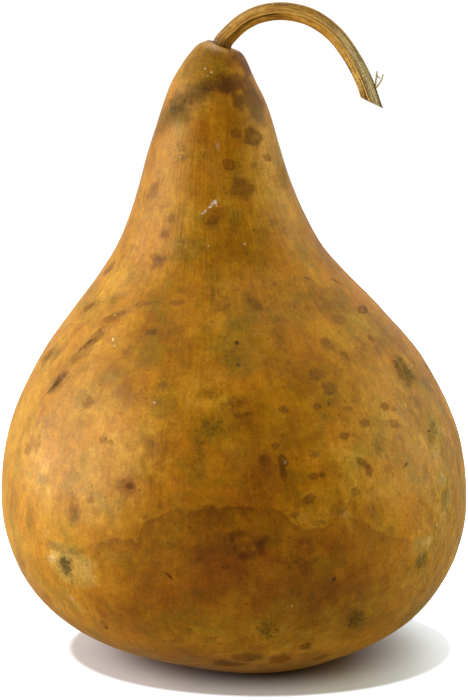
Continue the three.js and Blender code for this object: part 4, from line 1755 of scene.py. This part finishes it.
    def strand(self, points: Sequence[Sequence[float]], sides: int = 12, steps: int = 24) -> Rings:
        """One loose fibre: a tapered closed tube."""
        line = rounded_line(self.from_crown(points), 20, centripetal=True)
        at = np.linspace(0.0, lengths_along(line)[-1], steps + 1)
        _, outer, rear = self.directions(line, at)
        centre = sample_line(line, at)
        angle = -np.arange(sides) / sides * 2 * math.pi
        radius = np.linspace(self.strand_radius, self.strand_tip_radius, steps + 1)[:, None, None]
        across = outer[:, None] * np.cos(angle)[:, None] + rear[:, None] * np.sin(angle)[:, None]
        return Rings(centre[0], centre[:, None] + across * radius, centre[-1])

    def build(self, shift: Vector) -> bpy.types.Object:
        """Make the stem.

        Args:
            shift: How far the grown shape is shifted to stand in the frame, in millimetres.

        Returns:
            The stem.
        """
        stalk, grain, groove, form = self.stalk()
        pieces = [stalk, *(self.strand(points) for points in self.strands)]
        grains = [stalk.spread(grain)]
        grooves = [stalk.spread(groove)]
        forms = [stalk.spread(form)]
        for piece in pieces[1:]:
            count = len(piece.points())
            grains.append(np.tile([3.0, 0.0, 100.0], (count, 1)))
            grooves.append(np.full((count, 1), 0.1))
            forms.append(np.tile([0.2, 0.5, 0.0], (count, 1)))
        faces: list[tuple[int, ...]] = []
        offset = 0
        for piece in pieces:
            faces += [tuple(index + offset for index in face) for face in piece.faces()]
            offset += len(piece.points())
        points = np.vstack([piece.points() for piece in pieces]) + np.array((shift.x, shift.y, 0.0))
        made = make_object("dry_stem", points, faces)
        store(made.data, "grain", np.vstack(grains))
        store(made.data, "groove", np.vstack(grooves))
        store(made.data, "form", np.vstack(forms))
        return made


@dataclass(frozen=True)
class StemFinish:
    """Matt fibrous stalk: tan, orange and olive, with dark fissures and weather-grey streaks, and with painted light:
    shade on the ribs' flanks and at the foot, a highlight along each rib's ridge.
    """

    tan: Colour = (0.50, 0.25, 0.030)
    # also the painted highlight along each rib's ridge
    light: Colour = (0.79, 0.48, 0.12)
    brown: Colour = (0.24, 0.100, 0.010)
    olive: Colour = (0.21, 0.170, 0.100)
    grey: Colour = (0.90, 0.82, 0.62)
    fissure: Colour = (0.020, 0.014, 0.004)
    # painted shade at the stem's foot, where it sinks into the crown's hollow
    foot: Colour = (0.13, 0.060, 0.008)
    golden: Colour = (0.90, 0.64, 0.24)
    bleached: Colour = (1.08, 1.22, 1.60)
    roughness: float = 0.72

    def dress(self, stem: bpy.types.Object, effects: SharedEffects) -> None:
        """Give the stem its material.

        Args:
            stem: The stem.
            effects: The shared node groups.
        """
        material = bpy.data.materials.new("dry_stalk")
        material.use_nodes = True
        graph = Graph(material.node_tree)
        principled = material.node_tree.nodes["Principled BSDF"]
        grain = graph.attribute("grain").outputs["Vector"]
        along = graph.parts(grain)[2]
        groove = graph.attribute("groove").outputs["Fac"]
        ridge, outward, _ = graph.parts(graph.attribute("form").outputs["Vector"])
        streak = graph.group(effects.fibres, {"Grain": grain, "Width": 0.5, "Stretch": 0.05}).outputs["Streak"]
        bands = graph.group(effects.fibres, {"Grain": grain, "Width": 1.9, "Stretch": 0.07}).outputs["Streak"]
        cloud = graph.group(effects.mottle, {"Place": grain, "Size": 22.0}).outputs["Value"]
        colour = graph.ramp(
            graph.sum(graph.math("MULTIPLY", streak, 0.55), graph.math("MULTIPLY", cloud, 0.45)),
            [(0.18, self.brown), (0.5, self.tan), (0.85, self.light)],
        )
        late = graph.rise(along, 40.0, 80.0)
        aged = graph.math("MULTIPLY", graph.rise(outward, -0.5, 0.15), late)
        aged = graph.sum(graph.math("MULTIPLY", aged, 0.9), graph.rise(bands, 0.6, 1.0, 0.12))
        colour = graph.mix(late, colour, graph.mix(1.0, colour, self.bleached, "MULTIPLY"))
        weathered = graph.mix(streak, self.olive, self.grey)
        colour = graph.mix(aged, colour, weathered)
        skyward = graph.rise(outward, 0.62, 1.0, 0.6)
        colour = graph.mix(skyward, colour, self.olive)
        # painted shade on each rib's flanks
        flank_shade = graph.math("MULTIPLY", graph.rise(ridge, 0.2, 0.55), graph.math("SUBTRACT", 1.0, graph.rise(ridge, 0.6, 0.8)))
        colour = graph.mix(graph.math("MULTIPLY", flank_shade, 0.45), colour, self.brown)
        # painted highlight along each rib's ridge
        colour = graph.mix(graph.rise(ridge, 0.78, 0.95, 0.75), colour, self.light)
        # painted shade at the stem's foot, in the crown's hollow
        foot = graph.math("SUBTRACT", 1.0, graph.rise(along, 3.5, 9.0))
        colour = graph.mix(graph.math("MULTIPLY", foot, 0.8), colour, self.foot)
        cells = graph.group(effects.speckle, {"Place": grain, "Spacing": 1.1, "Share": 0.5}).outputs["Mask"]
        colour = graph.mix(graph.math("MULTIPLY", cells, 0.5), colour, self.golden)
        specks = graph.group(effects.speckle, {"Place": grain, "Spacing": 1.6, "Share": 0.3}).outputs["Mask"]
        colour = graph.mix(graph.math("MULTIPLY", specks, 0.7), colour, self.brown)
        cracks = graph.group(effects.fibres, {"Grain": grain, "Width": 1.2, "Stretch": 0.03}).outputs["Streak"]
        split = graph.math("SUBTRACT", 1.0, graph.rise(cracks, 0.12, 0.34))
        split = graph.math("MULTIPLY", split, graph.sum(0.32, graph.math("MULTIPLY", late, 0.35)))
        colour = graph.mix(split, colour, self.fissure)
        colour = graph.mix(graph.rise(groove, 0.25, 0.7, 0.95), colour, self.fissure)
        graph.feed(principled.inputs["Base Color"], colour)
        principled.inputs["Roughness"].default_value = self.roughness
        principled.inputs["IOR"].default_value = 1.45
        principled.inputs["Specular IOR Level"].default_value = 0.3
        height = graph.sum(
            graph.math("MULTIPLY", streak, 0.14),
            graph.math("MULTIPLY", bands, 0.16),
            graph.math("MULTIPLY", split, -0.2),
        )
        bump = graph.node("Bump", {"Strength": 1.0, "Distance": MM, "Height": height})
        graph.feed(principled.inputs["Normal"], bump.outputs["Normal"])
        stem.data.materials.append(material)


# --------------------------------------------------------------------------- studio


@dataclass(frozen=True)
class SoftBox:
    """A rectangular soft light that faces the gourd's middle, in metres and watts."""

    name: str
    power: float
    place: tuple[float, float, float]
    size: tuple[float, float]
    tint: Colour = (1.0, 1.0, 1.0)
    aim: tuple[float, float, float] = (0.0, 0.0, 0.13)

    def build(self) -> None:
        """Put the light in the scene, unseen by the camera."""
        data = bpy.data.lights.new(self.name, "AREA")
        data.shape = "RECTANGLE"
        data.size, data.size_y = self.size
        data.energy = self.power
        data.color = self.tint
        made = bpy.data.objects.new(self.name, data)
        made.location = self.place
        made.rotation_euler = (Vector(self.aim) - made.location).to_track_quat("-Z", "Y").to_euler()
        made.visible_camera = False
        bpy.context.scene.collection.objects.link(made)


@dataclass
class Studio:
    """A white table in a white studio: bright behind and beside the gourd, dark before it."""

    floor_radius: float = 1.4
    floor_white: Colour = (0.80, 0.75, 0.72)
    # painted shadow colour: the floor's colour on the gourd's right side, seen only in the shadow there
    painted_cool_shadow: Colour = (0.73, 0.80, 1.0)
    floor_bounce: Colour = (0.60, 0.52, 0.30)
    # painted contact shadow: the floor's colour darkens to this at the gourd's foot
    painted_contact_shadow: Colour = (0.14, 0.085, 0.07)
    shadow_middle: tuple[float, float, float] = (0.012, 0.005, 0.0)
    shadow_reach: tuple[float, float] = (0.084, 0.064)
    # the glow is painted light that ends the shadow in a clean white edge
    glow: float = 1.0
    glow_tint: Colour = (0.86, 0.92, 1.0)
    backdrop: float = 1.05
    front_level: float = 0.02
    back_level: float = 0.5
    top_level: float = 0.0
    boxes: Sequence[SoftBox] = (
        SoftBox("key_light", 12.7, (-1.14, -0.08, 0.46), (1.2, 1.0)),
        SoftBox("low_key_light", 4.2, (-1.15, -0.1, 0.13), (1.1, 0.3)),
        SoftBox("front_key_light", 4.7, (-0.98, -0.48, 0.52), (0.55, 0.6)),
        SoftBox("fill_light", 10.2, (1.12, 0.05, 0.42), (1.0, 0.9), (1.0, 0.96, 0.52)),
        SoftBox("front_light", 2.0, (0.0, -1.3, 0.75), (0.7, 0.7), (1.0, 0.75, 0.3)),
        SoftBox("top_light", 15.0, (0.05, 0.35, 1.3), (1.2, 0.9), (1.0, 0.98, 0.9)),
    )

    def build(self) -> None:
        """Put the floor, the surroundings and the lights in the scene."""
        self.floor()
        self.surroundings()
        for box in self.boxes:
            box.build()
        bpy.context.scene.view_settings.view_transform = "Standard"
        bpy.context.scene.view_settings.look = "None"

    def floor(self) -> None:
        """A plain round table top that glows for the camera away from the gourd, to end in pure white. Round the gourd
        its colour holds a painted contact shadow, cooler on the right side, and its glow paints light into the shadow's
        outer ring and right side.
        """
        angle = np.arange(96) / 96 * 2 * math.pi
        edge = np.column_stack([np.cos(angle), np.sin(angle), 0 * angle]) * self.floor_radius
        made = make_object("floor", edge / MM, [tuple(range(len(edge)))])
        material = bpy.data.materials.new("white_table")
        material.use_nodes = True
        graph = Graph(material.node_tree)
        principled = material.node_tree.nodes["Principled BSDF"]
        principled.inputs["Roughness"].default_value = 0.9
        principled.inputs["Specular IOR Level"].default_value = 0.1
        principled.inputs["Emission Color"].default_value = (*self.glow_tint, 1.0)
        seen = graph.node("LightPath").outputs["Is Camera Ray"]
        place = graph.vector("SUBTRACT", graph.node("TexCoord").outputs["Object"], self.shadow_middle)
        wide, deep = self.shadow_reach
        away = graph.length(graph.vector("DIVIDE", place, (wide, deep, 1.0)))
        rightward = graph.parts(place)[0]
        # painted shadow tint: cooler and bluer on the gourd's right side
        white = graph.mix(graph.rise(rightward, -0.04, 0.07), self.floor_white, self.painted_cool_shadow)
        # painted contact shadow: the colour darkens toward the gourd's foot
        white = graph.mix(graph.rise(away, 0.45, 1.0), self.painted_contact_shadow, white)
        white = graph.mix(seen, self.floor_bounce, white)
        # painted light: the glow lifts the shadow's outer ring and its right side, and ends it in pure white
        glow = graph.sum(
            graph.rise(away, 0.6, 0.95, 0.09),
            graph.rise(rightward, 0.03, 0.08, 0.24),
            graph.rise(away, 0.98, 1.05, self.glow),
        )
        graph.feed(principled.inputs["Base Color"], white)
        graph.feed(principled.inputs["Emission Strength"], graph.math("MULTIPLY", seen, glow))
        made.data.materials.append(material)

    def surroundings(self) -> None:
        """White behind and above, dark toward the front, and plain white where the camera sees it."""
        world = bpy.data.worlds.new("studio")
        world.use_nodes = True
        bpy.context.scene.world = world
        graph = Graph(world.node_tree)
        direction = graph.node("TexCoord").outputs["Generated"]
        _, toward_back, upward = graph.parts(direction)
        level = graph.sum(
            self.front_level,
            graph.rise(toward_back, -0.2, 0.6, self.back_level),
            graph.rise(upward, 0.2, 1.0, self.top_level),
        )
        seen = graph.node("LightPath").outputs["Is Camera Ray"]
        plain = graph.node("Mix", {"Factor": seen, 2: level, 3: self.backdrop}, data_type="FLOAT").outputs[0]
        graph.feed(world.node_tree.nodes["Background"].inputs["Strength"], plain)
        world.node_tree.nodes["Background"].inputs["Color"].default_value = (1.0, 1.0, 1.0, 1.0)


def main() -> None:
    """Build the gourd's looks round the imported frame, piece by piece."""
    logging.basicConfig(level=logging.INFO, format="%(message)s")
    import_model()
    camera = PhotoCamera()
    camera.build()
    Studio().build()
    effects = SharedEffects.build()

    shell, shift = Shell(camera=camera).build(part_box("gourd_shell"))
    ShellFinish().dress(shell, effects)
    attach(shell, BODY)
    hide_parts("gourd_shell")
    LOG.info("shell: %d faces", len(shell.data.polygons))

    stem = Stem().build(shift)
    StemFinish().dress(stem, effects)
    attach(stem, BODY)
    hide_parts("stem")
    LOG.info("stem: %d faces", len(stem.data.polygons))


if __name__ == "__main__":
    main()
